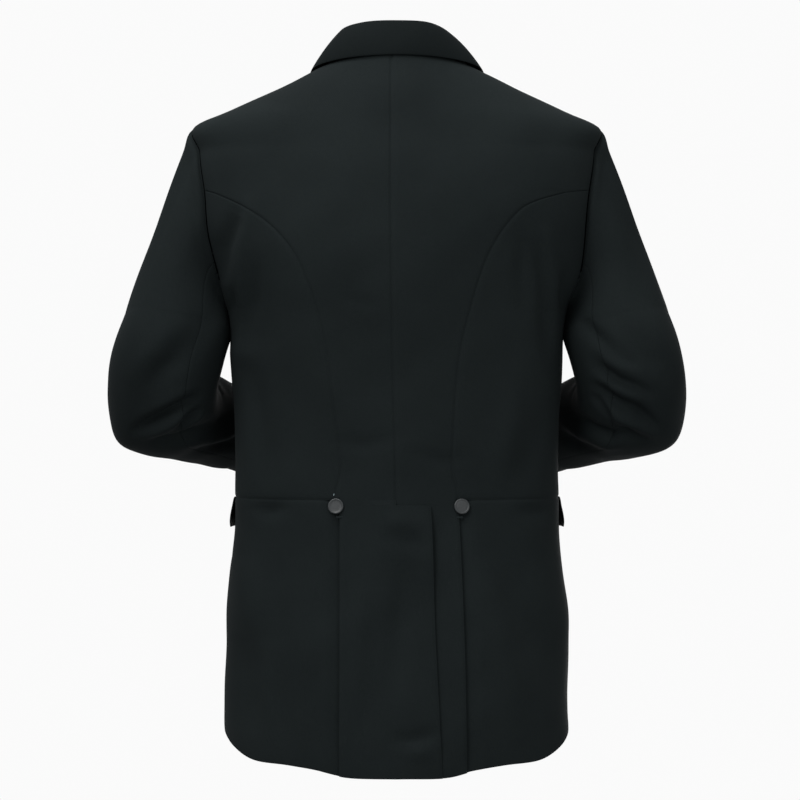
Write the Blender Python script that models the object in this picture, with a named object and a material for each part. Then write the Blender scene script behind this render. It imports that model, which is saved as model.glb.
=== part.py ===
"""A worn, hollow frock-style blazer. Wearer faces -Y, back at +Y, wearer's left at +X, +Z up.

The origin is the middle of the neck base. The torso is one closed surface of rings: a ring has a
level (metres, 0 at the neck, negative below) and an angle (0 at the centre back, 180 degrees at the
centre front, positive towards the wearer's left). Panels are pieces of that surface between seams.
"""

import math

import bpy
import numpy as np

# Cloth and seams
CLOTH = 0.0018  # wall of every panel
SEAM = 0.0003  # space between two pieces at a seam
LAP = CLOTH + 0.0005  # how far an upper layer lies above the one below it

# Levels of the main seams and edges
NECK = -0.0005
SHOULDER_TIP = -0.063
UNDERARM = -0.283
WAIST = -0.499
VENT_TOP = -0.505
PRINCESS_TOP = -0.145  # where the princess seams leave the armholes
BREAK = -0.300  # where the lapels start to roll
GORGE = -0.058  # where the lapel meets the collar
HEM_BACK = -0.8080
FRONT_CORNER = 0.085  # radius of the rounded skirt corner
FRONT_LAP = 0.020  # the fronts cross the middle by this much
PLEAT_LAY = 0.013  # cloth of the skirt laid under the back panel
NECK_TILT = 0.25  # the neck leans forward: rise per metre towards the back

VENT_RAISED = 0.014  # the upper vent layer is raised as far as this x
VENT_RISE = 0.026  # and comes down again over this width
FRONT_DIP = (0.023, 0.050)  # x where the lower front layer is down and where it is up again
DIP_STARTS = -0.22  # level below which it goes down
DIP_GROWS = 0.07  # over this height
PLEAT_DIP = (0.002, 0.018)  # the same for the skirt, as distances past the pleat
PLEAT_GAP = 0.003

# Rings of the torso
TORSO_COLUMNS = ("level", "half_width", "back", "front", "square")
TORSO = (
    (0.000, 0.084, 0.060, 0.052, 2.00),
    (-0.014, 0.113, 0.067, 0.062, 2.00),
    (-0.028, 0.143, 0.075, 0.073, 2.00),
    (-0.042, 0.173, 0.084, 0.085, 2.05),
    (-0.056, 0.206, 0.092, 0.096, 2.15),
    (-0.066, 0.2315, 0.097, 0.103, 2.25),
    (-0.100, 0.235, 0.113, 0.121, 2.40),
    (-0.150, 0.231, 0.127, 0.136, 2.50),
    (-0.200, 0.226, 0.132, 0.143, 2.50),
    (-0.250, 0.214, 0.129, 0.144, 2.45),
    (-0.283, 0.199, 0.125, 0.142, 2.40),
    (-0.310, 0.1945, 0.121, 0.140, 2.40),
    (-0.336, 0.1935, 0.117, 0.138, 2.40),
    (-0.420, 0.189, 0.107, 0.135, 2.40),
    (-0.499, 0.189, 0.112, 0.137, 2.40),
    (-0.560, 0.191, 0.125, 0.141, 2.40),
    (-0.632, 0.199, 0.136, 0.146, 2.40),
    (-0.700, 0.2005, 0.142, 0.149, 2.40),
    (-0.810, 0.2005, 0.147, 0.152, 2.40),
)

# Seams of the back: x of the middle seam, and the princess seams a distance either side of their own middle
BACK_SEAM_COLUMNS = ("level", "middle", "princess", "princess_middle")
BACK_SEAMS = (
    (0.000, 0.0065, 0.2300, 0.0000),
    (-0.1445, 0.0065, 0.2230, 0.0000),
    (-0.150, 0.0065, 0.2000, 0.0080),
    (-0.158, 0.0065, 0.1780, 0.0130),
    (-0.166, 0.0065, 0.1597, 0.0155),
    (-0.187, 0.0062, 0.1348, 0.0100),
    (-0.218, 0.0060, 0.1114, 0.0060),
    (-0.2527, 0.0055, 0.0965, 0.0045),
    (-0.292, 0.0050, 0.0845, 0.0040),
    (-0.332, 0.0045, 0.0755, 0.0040),
    (-0.378, 0.0035, 0.0705, 0.0035),
    (-0.420, 0.0020, 0.0665, 0.0020),
    (-0.473, 0.0010, 0.0645, 0.0000),
    (-0.490, 0.0010, 0.0690, 0.0000),
    (-0.499, 0.0010, 0.0700, -0.0010),
    (-0.810, 0.0010, 0.0700, -0.0010),
)
HEM_COLUMNS = ("degrees", "level")
HEM = (
    (0, HEM_BACK),
    (14, -0.8065),
    (22, -0.8000),
    (32, -0.7960),
    (53, -0.7925),
    (68, -0.7815),
    (78, -0.7740),
    (90, -0.7690),
    (120, -0.7720),
    (160, -0.7860),
    (200, -0.7860),
)
PLEAT_COLUMNS = ("level", "left", "right", "vent")
PLEATS = (
    (-0.499, 0.0665, -0.0695, -0.0375),
    (-0.520, 0.0645, -0.0705, -0.0390),
    (-0.650, 0.0640, -0.0755, -0.0430),
    (-0.810, 0.0645, -0.0790, -0.0510),
)

# Front edge above the break, which is the roll line, and how wide the lapel lies beside it
LAPEL_COLUMNS = ("level", "edge", "lapel_width")
LAPEL = (
    (0.000, 0.0800, 0.030),
    (-0.030, 0.0790, 0.050),
    (-0.058, 0.0730, 0.070),
    (-0.075, 0.0690, 0.080),
    (-0.100, 0.0630, 0.080),
    (-0.150, 0.0490, 0.074),
    (-0.200, 0.0340, 0.062),
    (-0.250, 0.0180, 0.042),
    (-0.290, 0.0030, 0.014),
    (-0.300, 0.0015, 0.006),
    (-0.312, -0.0100, 0.018),
    (-0.325, -0.0195, 0.032),
    (-0.360, -0.0200, 0.048),
    (-0.500, -0.0200, 0.048),
)

# Columns of the panels
BACK_COUNT = 9
SIDE_COUNT = 6
LAPEL_STEPS = 4
FRONT_STEPS = 5
FRONT_SHARE = 0.3  # least share of a front that lies outside its lapel
SKIRT_COLUMNS = 19
SKIRT_ROWS = (WAIST - SEAM, -0.512, -0.530, -0.570, -0.620, -0.670, -0.720, -0.768, HEM_BACK)

# Armhole: an oval on the torso surface round the side of the shoulder
ARMHOLE_STEPS = 12
ARMHOLE_MIDDLE = (SHOULDER_TIP + UNDERARM) / 2
ARMHOLE_HALF = (SHOULDER_TIP - UNDERARM) / 2
ARMHOLE_BACK = math.radians(19)
ARMHOLE_FRONT = math.radians(23)
ARMHOLE_ROUND = 0.8  # below 1 makes the oval squarer

# Sleeve: centre line from the upper arm round the elbow to the cuff
SLEEVE_COLUMNS = ("x", "y", "z", "across", "deep")
SLEEVE = (
    (0.2590, 0.006, -0.300, 0.0600, 0.0700),
    (0.2660, 0.014, -0.332, 0.0640, 0.0680),
    (0.2725, 0.006, -0.364, 0.0645, 0.0640),
    (0.2735, -0.018, -0.388, 0.0640, 0.0610),
    (0.2630, -0.052, -0.399, 0.0615, 0.0580),
    (0.2420, -0.090, -0.406, 0.0575, 0.0550),
    (0.2130, -0.134, -0.418, 0.0535, 0.0515),
    (0.1760, -0.178, -0.431, 0.0490, 0.0475),
    (0.1530, -0.203, -0.438, 0.0470, 0.0450),
)
LEAVE, ARRIVE = 0.75, 0.42  # fullness of the sleeve head at the armhole and where the tube starts
LEAN = 0.85  # how far the underarm of the sleeve head leaves straight sideways
SIDEWAYS = (1.0, 0.0, -0.15)
SLEEVE_INSET = SEAM * 1.5  # of the whole sleeve head inside the armhole
SLEEVE_SEAM = SEAM * 0.6  # of each long edge inside its seam
SLEEVE_TOP_RINGS = 8
SLEEVE_TUBE_RINGS = 22
HIND_SEAM = 8  # sleeve columns, of 24, counted from the shoulder towards the back
FORE_SEAM = 17

# Creases of the sleeve. Each row: side (1 left, -1 right, 0 both), share along it (0 cap, 1 cuff) and degrees
# round it where the crease starts, the same where it ends, its width and its height
SLEEVE_LENGTH = 0.50
SLEEVE_RADIUS = 0.060
CREASES = (
    (1, 0.52, 160, 0.60, 60, 0.012, -0.0045),
    (1, 0.56, 155, 0.64, 55, 0.011, 0.0038),
    (1, 0.66, 150, 0.66, 80, 0.011, -0.0034),
    (1, 0.72, 150, 0.68, 90, 0.012, 0.0030),
    (-1, 0.44, 150, 0.49, 80, 0.012, -0.0032),
    (-1, 0.50, 155, 0.58, 60, 0.012, -0.0045),
    (-1, 0.56, 150, 0.63, 65, 0.011, 0.0038),
    (-1, 0.63, 150, 0.66, 85, 0.011, -0.0036),
    (0, 0.16, 140, 0.40, 115, 0.016, -0.0026),
    (0, 0.58, 265, 0.60, 205, 0.013, -0.0045),
    (0, 0.66, 260, 0.65, 205, 0.013, -0.0038),
)

# Collar, from the centre back to its front end. Each row: degrees and level of its base on the torso,
# x, y and z of the fold line, degrees and level of the outer edge on the torso
COLLAR = (
    (0, 0.0000, 0.0000, 0.0590, 0.0487, 0, -0.0080),
    (30, 0.0000, 0.0365, 0.0520, 0.0480, 30, -0.0085),
    (58, 0.0000, 0.0600, 0.0310, 0.0400, 58, -0.0092),
    (82, 0.0000, 0.0665, 0.0060, 0.0290, 82, -0.0080),
    (104, -0.0005, 0.0695, -0.0170, 0.0145, 100, -0.0095),
    (133, -0.0120, 0.0725, -0.0400, -0.0030, 114, -0.0155),
    (148, -0.0300, 0.0750, -0.0640, -0.0280, 128, -0.0270),
    (156, -0.0480, 0.0750, -0.0870, -0.0545, 139, -0.0430),
)
COLLAR_LEAVES_NECK = 103  # degrees; in front of this the base follows the front edge
FALL_LAY = 0.0030  # outside of the fall's edge above the cloth it lies on
FALL_BULGE = 0.004
FALL_ROWS = 6
STAND_ROWS = 4
STAND_TUCK = 0.0030  # top of the stand below the fold
STAND_CLEAR = 0.0024  # base of the stand inside the front edge, in x
STAND_LIFT = 0.0008  # and above the neck edge
STAND_INSIDE = 0.0012  # top of the stand inside the fold
COLLAR_COLUMN_COUNT = 31

# Buttons and flaps
BACK_BUTTON_RADIUS = 0.0090
FRONT_BUTTON_RADIUS = 0.0100
BUTTON_HIGH = 0.0032
BUTTON_OFF = SEAM * 2  # its back above the cloth
BUTTON_STEPS = 16
BUTTON_PROFILE = ((0.88, 0.0), (1.0, 0.30), (0.98, 0.75), (0.86, 1.0), (0.74, 0.86))  # share of radius and height
BACK_BUTTONS = (("left", 0.0686), ("right", -0.0732))
BACK_BUTTON_LEVEL = -0.506
FRONT_BUTTON_LEVELS = (-0.318, -0.398, -0.478)
FLAP_COLUMNS = (8, 13)  # of the skirt's columns
FLAP_ROWS = (0.04, 0.40, 0.75, 1.0)  # shares of its height, below the waist seam
FLAP_HIGH = 0.036
FLAP_FLARE = 0.0045

LEFT, RIGHT = 1, -1
SIDES = ((LEFT, "left"), (RIGHT, "right"))


def column(table, names, name, at):
    """Value of a named column at a level, straight between the rows."""
    rows = sorted(table)
    keys = [row[0] for row in rows]
    values = [row[names.index(name)] for row in rows]
    return float(np.interp(at, keys, values))


def smooth_column(table, names, name, at):
    """As column, but on a smooth cubic through the rows, so rings follow each other without kinks."""
    rows = sorted(table)
    x = np.array([row[0] for row in rows])
    y = np.array([row[names.index(name)] for row in rows])
    slope = np.gradient(y, x)
    i = int(np.clip(np.searchsorted(x, at) - 1, 0, len(x) - 2))
    h = x[i + 1] - x[i]
    t = min(max((at - x[i]) / h, 0.0), 1.0)
    return float(
        (2 * t**3 - 3 * t**2 + 1) * y[i]
        + (t**3 - 2 * t**2 + t) * h * slope[i]
        + (3 * t**2 - 2 * t**3) * y[i + 1]
        + (t**3 - t**2) * h * slope[i + 1]
    )


def ease(t):
    t = min(max(t, 0.0), 1.0)
    return t * t * (3 - 2 * t)


# The torso surface

def ring_sizes(level):
    return [smooth_column(TORSO, TORSO_COLUMNS, name, level) for name in TORSO_COLUMNS[1:]]


def torso(angle, level):
    half_width, back, front, square = ring_sizes(level)
    s, c = math.sin(angle), math.cos(angle)
    power = 2 / square
    x = half_width * math.copysign(abs(s) ** power, s)
    y = (back if c > 0 else front) * math.copysign(abs(c) ** power, c)
    lean = NECK_TILT * ease((level + 0.10) / 0.10)
    return np.array((x, y, level + lean * y))


def torso_normal(angle, level):
    turn = torso(angle + 0.02, level) - torso(angle - 0.02, level)
    rise = torso(angle, level + 0.004) - torso(angle, level - 0.004)
    normal = np.cross(rise, turn)
    normal /= np.linalg.norm(normal)
    outwards = np.array((math.sin(angle), math.cos(angle), 0.2))
    return normal if normal @ outwards > 0 else -normal


def angle_of_x(x, level, front=False):
    """Angle at which the ring of this level reaches x, on its back or front half."""
    half_width, _, _, square = ring_sizes(level)
    part = min(abs(x) / half_width, 1.0)
    angle = math.asin(part ** (square / 2))
    if front:
        angle = math.pi - angle
    return math.copysign(angle, x) if x else (math.pi if front else 0.0)


def spaced(level, start, end, count):
    """Angles from start to end, the same distance apart along the cloth."""
    fine = np.linspace(start, end, 61)
    points = np.array([torso(a, level) for a in fine])
    run = np.concatenate(([0], np.cumsum(np.linalg.norm(np.diff(points, axis=0), axis=1))))
    return np.interp(np.linspace(0, run[-1], count), run, fine)


def nudge(angle, level, by):
    """The angle moved along the ring by a distance."""
    speed = np.linalg.norm(torso(angle + 0.01, level) - torso(angle - 0.01, level)) / 0.02
    return angle + by / speed


# Seams on the torso, as angles

def armhole_levels():
    steps = np.arange(ARMHOLE_STEPS + 1) * math.pi / ARMHOLE_STEPS
    return ARMHOLE_MIDDLE + ARMHOLE_HALF * np.cos(steps)


def armhole_angle(level, front):
    """Straight between the sleeve's own points, so the sleeve and the panels share an edge."""
    levels = armhole_levels()
    steps = np.arange(ARMHOLE_STEPS + 1) * math.pi / ARMHOLE_STEPS
    reach = ARMHOLE_FRONT if front else -ARMHOLE_BACK
    angles = math.pi / 2 + reach * np.sin(steps) ** ARMHOLE_ROUND
    return float(np.interp(level, levels[::-1], angles[::-1]))


def middle_angle(level):
    return angle_of_x(column(BACK_SEAMS, BACK_SEAM_COLUMNS, "middle", level), level)


def princess_angle(level, side):
    middle = column(BACK_SEAMS, BACK_SEAM_COLUMNS, "princess_middle", level)
    away = column(BACK_SEAMS, BACK_SEAM_COLUMNS, "princess", level)
    return abs(angle_of_x(middle * side + away, level))


def pleat_x(level, side):
    return abs(column(PLEATS, PLEAT_COLUMNS, "left" if side == LEFT else "right", level))


def hem_level(angle, front_distance=1.0):
    """Level of the hem at an angle: longest behind, shortest at the side, rounded at the front edge."""
    base = smooth_column(HEM, HEM_COLUMNS, "level", abs(math.degrees(angle)))
    short = max(FRONT_CORNER - front_distance, 0.0)
    return base + FRONT_CORNER - math.sqrt(FRONT_CORNER**2 - min(short, FRONT_CORNER * 0.98) ** 2)


def hung(level, angle, front_distance=1.0):
    """A level below the waist stretched so that the last one is the hem."""
    if level >= WAIST:
        return level
    share = (WAIST - level) / (WAIST - HEM_BACK)
    return WAIST + (hem_level(angle, front_distance) - WAIST) * share


# Making solids

def material(name, colour, roughness, metallic=0.0):
    made = bpy.data.materials.new(name)
    made.use_nodes = True
    shader = made.node_tree.nodes["Principled BSDF"]
    shader.inputs["Base Color"].default_value = (*colour, 1.0)
    shader.inputs["Roughness"].default_value = roughness
    shader.inputs["Metallic"].default_value = metallic
    return made


def cloth_material(name):
    return material(name + "_cloth", (0.0135, 0.0175, 0.0205), 0.82)


def button_material(name):
    return material(name + "_finish", (0.055, 0.066, 0.070), 0.45)


def closed_object(name, vertices, faces, finish):
    mesh = bpy.data.meshes.new(name)
    mesh.from_pydata([tuple(v) for v in vertices], [], faces)
    mesh.validate()
    volume = 0.0
    for face in mesh.polygons:
        corners = [mesh.vertices[i].co for i in face.vertices]
        for i in range(1, len(corners) - 1):
            volume += corners[0].dot(corners[i].cross(corners[i + 1]))
    if volume < 0:
        mesh.flip_normals()
    mesh.shade_smooth()
    mesh.set_sharp_from_angle(angle=math.radians(40))
    mesh.materials.append(finish)
    made = bpy.data.objects.new(name, mesh)
    bpy.context.scene.collection.objects.link(made)
    return made


def grid_normals(grid, outwards):
    """Normals of a grid of points. outwards is any vector field that tells the outer side."""
    across = np.gradient(grid, axis=1)
    down = np.gradient(grid, axis=0)
    normals = np.cross(across, down)
    normals /= np.linalg.norm(normals, axis=2, keepdims=True)
    flip = np.sum(normals * outwards, axis=2) < 0
    normals[flip] *= -1
    return normals


def wall(name, grid, normals, finish):
    """A closed wall: the grid is its outside, the inside lies the cloth's thickness below."""
    rows, columns = grid.shape[:2]
    inner = grid - normals * CLOTH
    vertices = list(grid.reshape(-1, 3)) + list(inner.reshape(-1, 3))
    below = rows * columns
    faces = []
    for r in range(rows - 1):
        for c in range(columns - 1):
            a = r * columns + c
            b, d, e = a + 1, a + columns, a + columns + 1
            faces.append((a, b, e, d))
            faces.append((a + below, d + below, e + below, b + below))
    top = [(0, c) for c in range(columns)]
    end = [(r, columns - 1) for r in range(1, rows)]
    bottom = [(rows - 1, c) for c in range(columns - 2, -1, -1)]
    start = [(r, 0) for r in range(rows - 2, 0, -1)]
    rim = [r * columns + c for r, c in top + end + bottom + start]
    for i, a in enumerate(rim):
        b = rim[(i + 1) % len(rim)]
        faces.append((b, a, a + below, b + below))
    return closed_object(name, vertices, faces, finish)


def torso_panel(name, rows, edges, count, lift, side, front_distance=None):
    """A wall on the torso. edges(level) gives its two angles, for the left side; side mirrors it.

    count is a number of columns, or a function that gives the angles of one row."""
    grid, normals = [], []
    for level in rows:
        start, end = edges(level)
        line, line_normals = [], []
        for angle in spaced(level, start, end, count) if np.isscalar(count) else count(level, start, end):
            away = front_distance(angle, level) if front_distance else 1.0
            at = hung(level, angle, away)
            normal = torso_normal(angle * side, at)
            line.append(torso(angle * side, at) + normal * lift(angle * side, level))
            line_normals.append(normal)
        grid.append(line)
        normals.append(line_normals)
    grid, normals = np.array(grid), np.array(normals)
    wall(name, grid, normals, cloth_material(name))
    return grid, normals


# Torso panels

def under(away, begins, ends):
    """Lift of a layer that dips under its neighbour: full dip up to begins, none past ends."""
    return -LAP * (1 - ease((away - begins) / (ends - begins)))


def back_rows():
    shoulder = (NECK, -0.014, -0.028, -0.042, -0.054)
    blade = tuple(armhole_levels()) + (-0.1458, -0.150, -0.158, -0.166, -0.187)
    waist = (-0.310, -0.336, -0.362, -0.390, -0.420, -0.450, -0.475, -0.490, -0.499 + SEAM)
    skirt = (VENT_TOP + 0.0005, VENT_TOP - 0.0005, -0.530, -0.570, -0.620, -0.670, -0.720, -0.768, HEM_BACK)
    return sorted(shoulder + blade + waist + skirt, reverse=True)


def back_edges(side):
    def edges(level):
        if side == LEFT and level < VENT_TOP:
            start = angle_of_x(column(PLEATS, PLEAT_COLUMNS, "vent", level), level)
        else:
            start = nudge(side * middle_angle(level), level, SEAM / 2)
        if level > SHOULDER_TIP:
            end = nudge(math.pi / 2, level, -SEAM / 2)
        elif level > WAIST:
            end = nudge(princess_angle(level, side), level, -SEAM / 2)
            if level > PRINCESS_TOP:
                end = armhole_angle(level, False)
        else:
            end = angle_of_x(pleat_x(level, side), level)
        return start, end

    return edges


def back_lift(side):
    """Below the vent's top the left back lies on the right one."""
    def lift(angle, level):
        x = torso(angle, level)[0]
        if side == LEFT and level < VENT_TOP + 0.001:
            return LAP * (1 - ease((x - VENT_RAISED) / VENT_RISE))
        return 0.0

    return lift


def no_lift(angle, level):
    return 0.0


def make_backs():
    for side, name in SIDES:
        torso_panel("back_" + name, back_rows(), back_edges(side), BACK_COUNT, back_lift(side), side)


def side_rows():
    blade = [level for level in armhole_levels() if level < -0.160]
    rows = blade + [-0.1458, -0.150, -0.158, -0.166, -0.187]
    rows += [-0.310, -0.336, -0.362, -0.390, -0.420, -0.450, -0.475, -0.490, WAIST + SEAM / 2]
    return sorted(rows, reverse=True)


def side_edges(side):
    def edges(level):
        start = nudge(princess_angle(level, side), level, SEAM / 2)
        if level >= UNDERARM:
            return start, armhole_angle(level, False)
        return start, nudge(math.pi / 2, level, -SEAM / 2)

    return edges


def make_side_bodies():
    for side, name in SIDES:
        torso_panel("side_body_" + name, side_rows(), side_edges(side), SIDE_COUNT, no_lift, side)


def edge_x(level):
    return column(LAPEL, LAPEL_COLUMNS, "edge", level)


def front_angle(x, level):
    """Angle on the front half for an x that may lie past the middle."""
    angle = angle_of_x(abs(x), level, front=True)
    return angle if x >= 0 else 2 * math.pi - angle


def front_rows():
    shoulder = [NECK, -0.014, -0.028, -0.042, -0.054]
    waist = [-0.292, -0.300, -0.312, -0.326, -0.345, -0.370, -0.400, -0.430, -0.465, WAIST + SEAM / 2]
    return sorted(shoulder + list(armhole_levels()) + waist, reverse=True)


def front_columns(level, start, end):
    """From the armhole or side seam to the lapel's edge, then over the lapel's width to the front edge."""
    width = column(LAPEL, LAPEL_COLUMNS, "lapel_width", level)
    lapel = front_angle(edge_x(level) + width, level)
    lapel = max(lapel, start + FRONT_SHARE * (end - start))
    body = spaced(level, start, lapel, FRONT_STEPS + 1)
    return np.concatenate((body[:-1], spaced(level, lapel, end, LAPEL_STEPS + 1)))


def front_edges(side):
    def edges(level):
        start = nudge(math.pi / 2, level, SEAM / 2)
        if UNDERARM <= level <= SHOULDER_TIP:
            start = armhole_angle(level, True)
        return start, front_angle(edge_x(level), level)

    return edges


def front_lift(side):
    """The right front dips under the left one at the middle."""
    def lift(angle, level):
        x = torso(angle, level)[0] * side
        dip = under(x, *FRONT_DIP) if side == RIGHT else 0.0
        return dip * ease((DIP_STARTS - level) / DIP_GROWS)

    return lift


def make_fronts_and_lapels():
    for side, name in SIDES:
        rows = front_rows()
        grid, normals = torso_panel("front_" + name, rows, front_edges(side), front_columns, front_lift(side), side)
        chosen = [i for i, level in enumerate(rows) if BREAK - 0.001 < level < GORGE]
        lapel = grid[chosen][:, FRONT_STEPS:]
        lapel_normals = normals[chosen][:, FRONT_STEPS:]
        wall("lapel_" + name, lapel + lapel_normals * LAP, lapel_normals, cloth_material("lapel_" + name))


# Skirts and pocket flaps

def front_skirt_distance(side):
    def distance(angle, level):
        edge = front_angle(-FRONT_LAP, level)
        return abs(edge - angle) * np.linalg.norm(torso(angle + 0.01, level) - torso(angle - 0.01, level)) / 0.02

    return distance


def skirt_edges(side):
    def edges(level):
        return angle_of_x(pleat_x(level, side) - PLEAT_LAY, level), front_angle(-FRONT_LAP, level)

    return edges


def skirt_columns(side):
    def columns(level, start, end):
        pleat = angle_of_x(pleat_x(level, side), level)
        inside = spaced(level, start, pleat, 3)
        return np.concatenate((inside[:-1], spaced(level, nudge(pleat, level, PLEAT_GAP), end, SKIRT_COLUMNS - 2)))

    return columns


def skirt_lift(side):
    def lift(angle, level):
        x = torso(angle, level)[0] * side
        if math.cos(angle) > 0:
            pleat = pleat_x(level, side)
            return under(x, pleat + PLEAT_DIP[0], pleat + PLEAT_DIP[1])
        return under(x, *FRONT_DIP) if side == RIGHT else 0.0

    return lift


def make_skirts_and_flaps():
    for side, name in SIDES:
        grid, normals = torso_panel(
            "skirt_" + name, SKIRT_ROWS, skirt_edges(side), skirt_columns(side),
            skirt_lift(side), side, front_skirt_distance(side),
        )
        make_flap(name, grid, normals)


def make_flap(name, grid, normals):
    """Hip flap: the skirt's own points, moved out, and farther out towards its lower edge."""
    first, last = FLAP_COLUMNS
    strip, strip_normals = grid[:4, first : last + 1], normals[:4, first : last + 1]
    upper = SKIRT_ROWS[0] - SKIRT_ROWS[2]  # height of the strip's first two rows, and then of its third
    third = SKIRT_ROWS[2] - SKIRT_ROWS[3]
    rows = []
    row_normals = []
    for share in FLAP_ROWS:
        down = share * FLAP_HIGH
        if down <= upper:
            points = strip[0] + (strip[2] - strip[0]) * down / upper
        else:
            points = strip[2] + (strip[3] - strip[2]) * (down - upper) / third
        out = strip_normals[0] * (1 - share) + strip_normals[2] * share
        out /= np.linalg.norm(out, axis=1, keepdims=True)
        rows.append(points + out * (LAP + FLAP_FLARE * ease(share)))
        row_normals.append(out)
    wall("pocket_flap_" + name, np.array(rows), np.array(row_normals), cloth_material("pocket_flap_" + name))


# Collar

def through(rows, count):
    """Evenly spaced points of a smooth curve through the rows of a table."""
    rows = np.array(rows, float)
    steps = np.linspace(0, len(rows) - 1, count)
    padded = np.vstack((2 * rows[0] - rows[1], rows, 2 * rows[-1] - rows[-2]))
    made = []
    for step in steps:
        i = min(int(step), len(rows) - 2)
        t = step - i
        a, b, c, d = padded[i : i + 4]
        made.append(0.5 * (2 * b + (c - a) * t + (2 * a - 5 * b + 4 * c - d) * t**2 + (3 * b - a - 3 * c + d) * t**3))
    return np.array(made)


def collar_table():
    """The whole collar, from the right front end round the back to the left one."""
    mirrored = [(-row[0], row[1], -row[2], row[3], row[4], -row[5], row[6]) for row in COLLAR[:0:-1]]
    return through(mirrored + list(COLLAR), COLLAR_COLUMN_COUNT)


def make_collar():
    fall, stand = [], []
    for base_degrees, base_level, x, y, z, edge_degrees, edge_level in collar_table():
        fold = np.array((x, y, z))
        edge_angle = math.radians(edge_degrees)
        edge = torso(edge_angle, edge_level) + torso_normal(edge_angle, edge_level) * FALL_LAY
        away = edge - fold
        away[2] = 0
        away /= np.linalg.norm(away)
        control = (fold + edge) / 2 + away * FALL_BULGE + np.array((0, 0, FALL_BULGE))
        steps = np.linspace(0, 1, FALL_ROWS)[:, None]
        fall.append((1 - steps) ** 2 * fold + 2 * steps * (1 - steps) * control + steps**2 * edge)
        base_angle = math.radians(base_degrees)
        if abs(base_degrees) > COLLAR_LEAVES_NECK:
            base_angle = math.copysign(front_angle(edge_x(base_level) - STAND_CLEAR, base_level), base_degrees)
        base = torso(base_angle, min(base_level, NECK))
        top = fold - np.array((0, 0, STAND_TUCK)) - away * STAND_INSIDE
        rise = (top - base) / np.linalg.norm(top - base)
        base = base + rise * STAND_LIFT
        stand.append(base + (top - base) * np.linspace(0, 1, STAND_ROWS)[:, None])
    for name, lines in (("collar_fall", fall), ("collar_stand", stand)):
        grid = np.array(lines).transpose(1, 0, 2)
        outwards = grid * np.array((1, 1, 0)) + np.array((0, 0, 0.02 if name == "collar_fall" else 0))
        wall(name, grid, grid_normals(grid, outwards), cloth_material(name))


# Sleeves

def armhole_loop():
    """The sleeve's first ring: points, torso normals and the way into the hole, from the shoulder backwards."""
    levels = armhole_levels()
    places = [(armhole_angle(level, False), level) for level in levels]
    places += [(armhole_angle(level, True), level) for level in levels[-2:0:-1]]
    points = np.array([torso(*place) for place in places])
    normals = np.array([torso_normal(*place) for place in places])
    along = np.roll(points, -1, axis=0) - np.roll(points, 1, axis=0)
    inside = np.cross(normals, along)
    inside /= np.linalg.norm(inside, axis=1, keepdims=True)
    centre = points.mean(axis=0)
    flip = np.sum(inside * (centre - points), axis=1) < 0
    inside[flip] *= -1
    return points + inside * SLEEVE_INSET, normals


def crease_height(along, around, side):
    """Sum of the soft ridges and troughs at a place on the sleeve."""
    total = 0.0
    here = np.array((along * SLEEVE_LENGTH, math.radians(around) * SLEEVE_RADIUS))
    for crease_side, a0, r0, a1, r1, width, height in CREASES:
        if crease_side not in (0, side):
            continue
        start = np.array((a0 * SLEEVE_LENGTH, math.radians(r0) * SLEEVE_RADIUS))
        end = np.array((a1 * SLEEVE_LENGTH, math.radians(r1) * SLEEVE_RADIUS))
        share = np.clip((here - start) @ (end - start) / ((end - start) @ (end - start)), 0, 1)
        distance = np.linalg.norm(here - start - share * (end - start))
        fade = 0.45 + 0.55 * math.sin(math.pi * share)
        total += height * fade * math.exp(-((distance / width) ** 2))
    return total


def sleeve_rings(side):
    loop, loop_normals = armhole_loop()
    count = len(loop)
    fine = through(SLEEVE, 161)
    run = np.concatenate(([0], np.cumsum(np.linalg.norm(np.diff(fine[:, :3], axis=0), axis=1))))
    stations = [np.interp(np.linspace(0, run[-1], SLEEVE_TUBE_RINGS), run, fine[:, i]) for i in range(5)]
    stations = np.array(stations).T
    turns = np.arange(count) * 2 * math.pi / count
    rings = []
    back = np.array((0.0, 1.0, 0.0))
    ways = np.gradient(stations[:, :3], axis=0)
    for station, way in zip(stations, ways):
        way = way / np.linalg.norm(way)
        back = back - way * (back @ way)
        back /= np.linalg.norm(back)
        out = np.cross(way, back)
        ring = [
            station[:3] + out * station[3] * math.cos(turn) + back * station[4] * math.sin(turn) for turn in turns
        ]
        rings.append(np.array(ring))
    first_way = ways[0] / np.linalg.norm(ways[0])
    chord = rings[0] - loop
    reach = np.linalg.norm(chord, axis=1, keepdims=True)
    lower = ((1 - np.cos(turns)) / 2)[:, None]
    lean = LEAN * lower
    leave = chord / reach * (1 - lean) + np.array(SIDEWAYS) * lean
    leave *= LEAVE * reach / np.linalg.norm(leave, axis=1, keepdims=True)
    arrive = first_way * reach * ARRIVE
    cap = []
    for t in np.linspace(0, 1, SLEEVE_TOP_RINGS + 1)[:-1]:
        cap.append(
            (2 * t**3 - 3 * t**2 + 1) * loop + (t**3 - 2 * t**2 + t) * leave
            + (3 * t**2 - 2 * t**3) * rings[0] + (t**3 - t**2) * arrive
        )
    grid = np.array(cap + rings)
    convex = np.sum(leave * loop_normals, axis=1) < 0
    return grid, loop_normals, convex


def ring_normals(grid):
    wrapped = np.concatenate((grid[:, -1:], grid, grid[:, :1]), axis=1)
    centres = wrapped.mean(axis=1, keepdims=True)
    return grid_normals(wrapped, wrapped - centres)[:, 1:-1]


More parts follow.
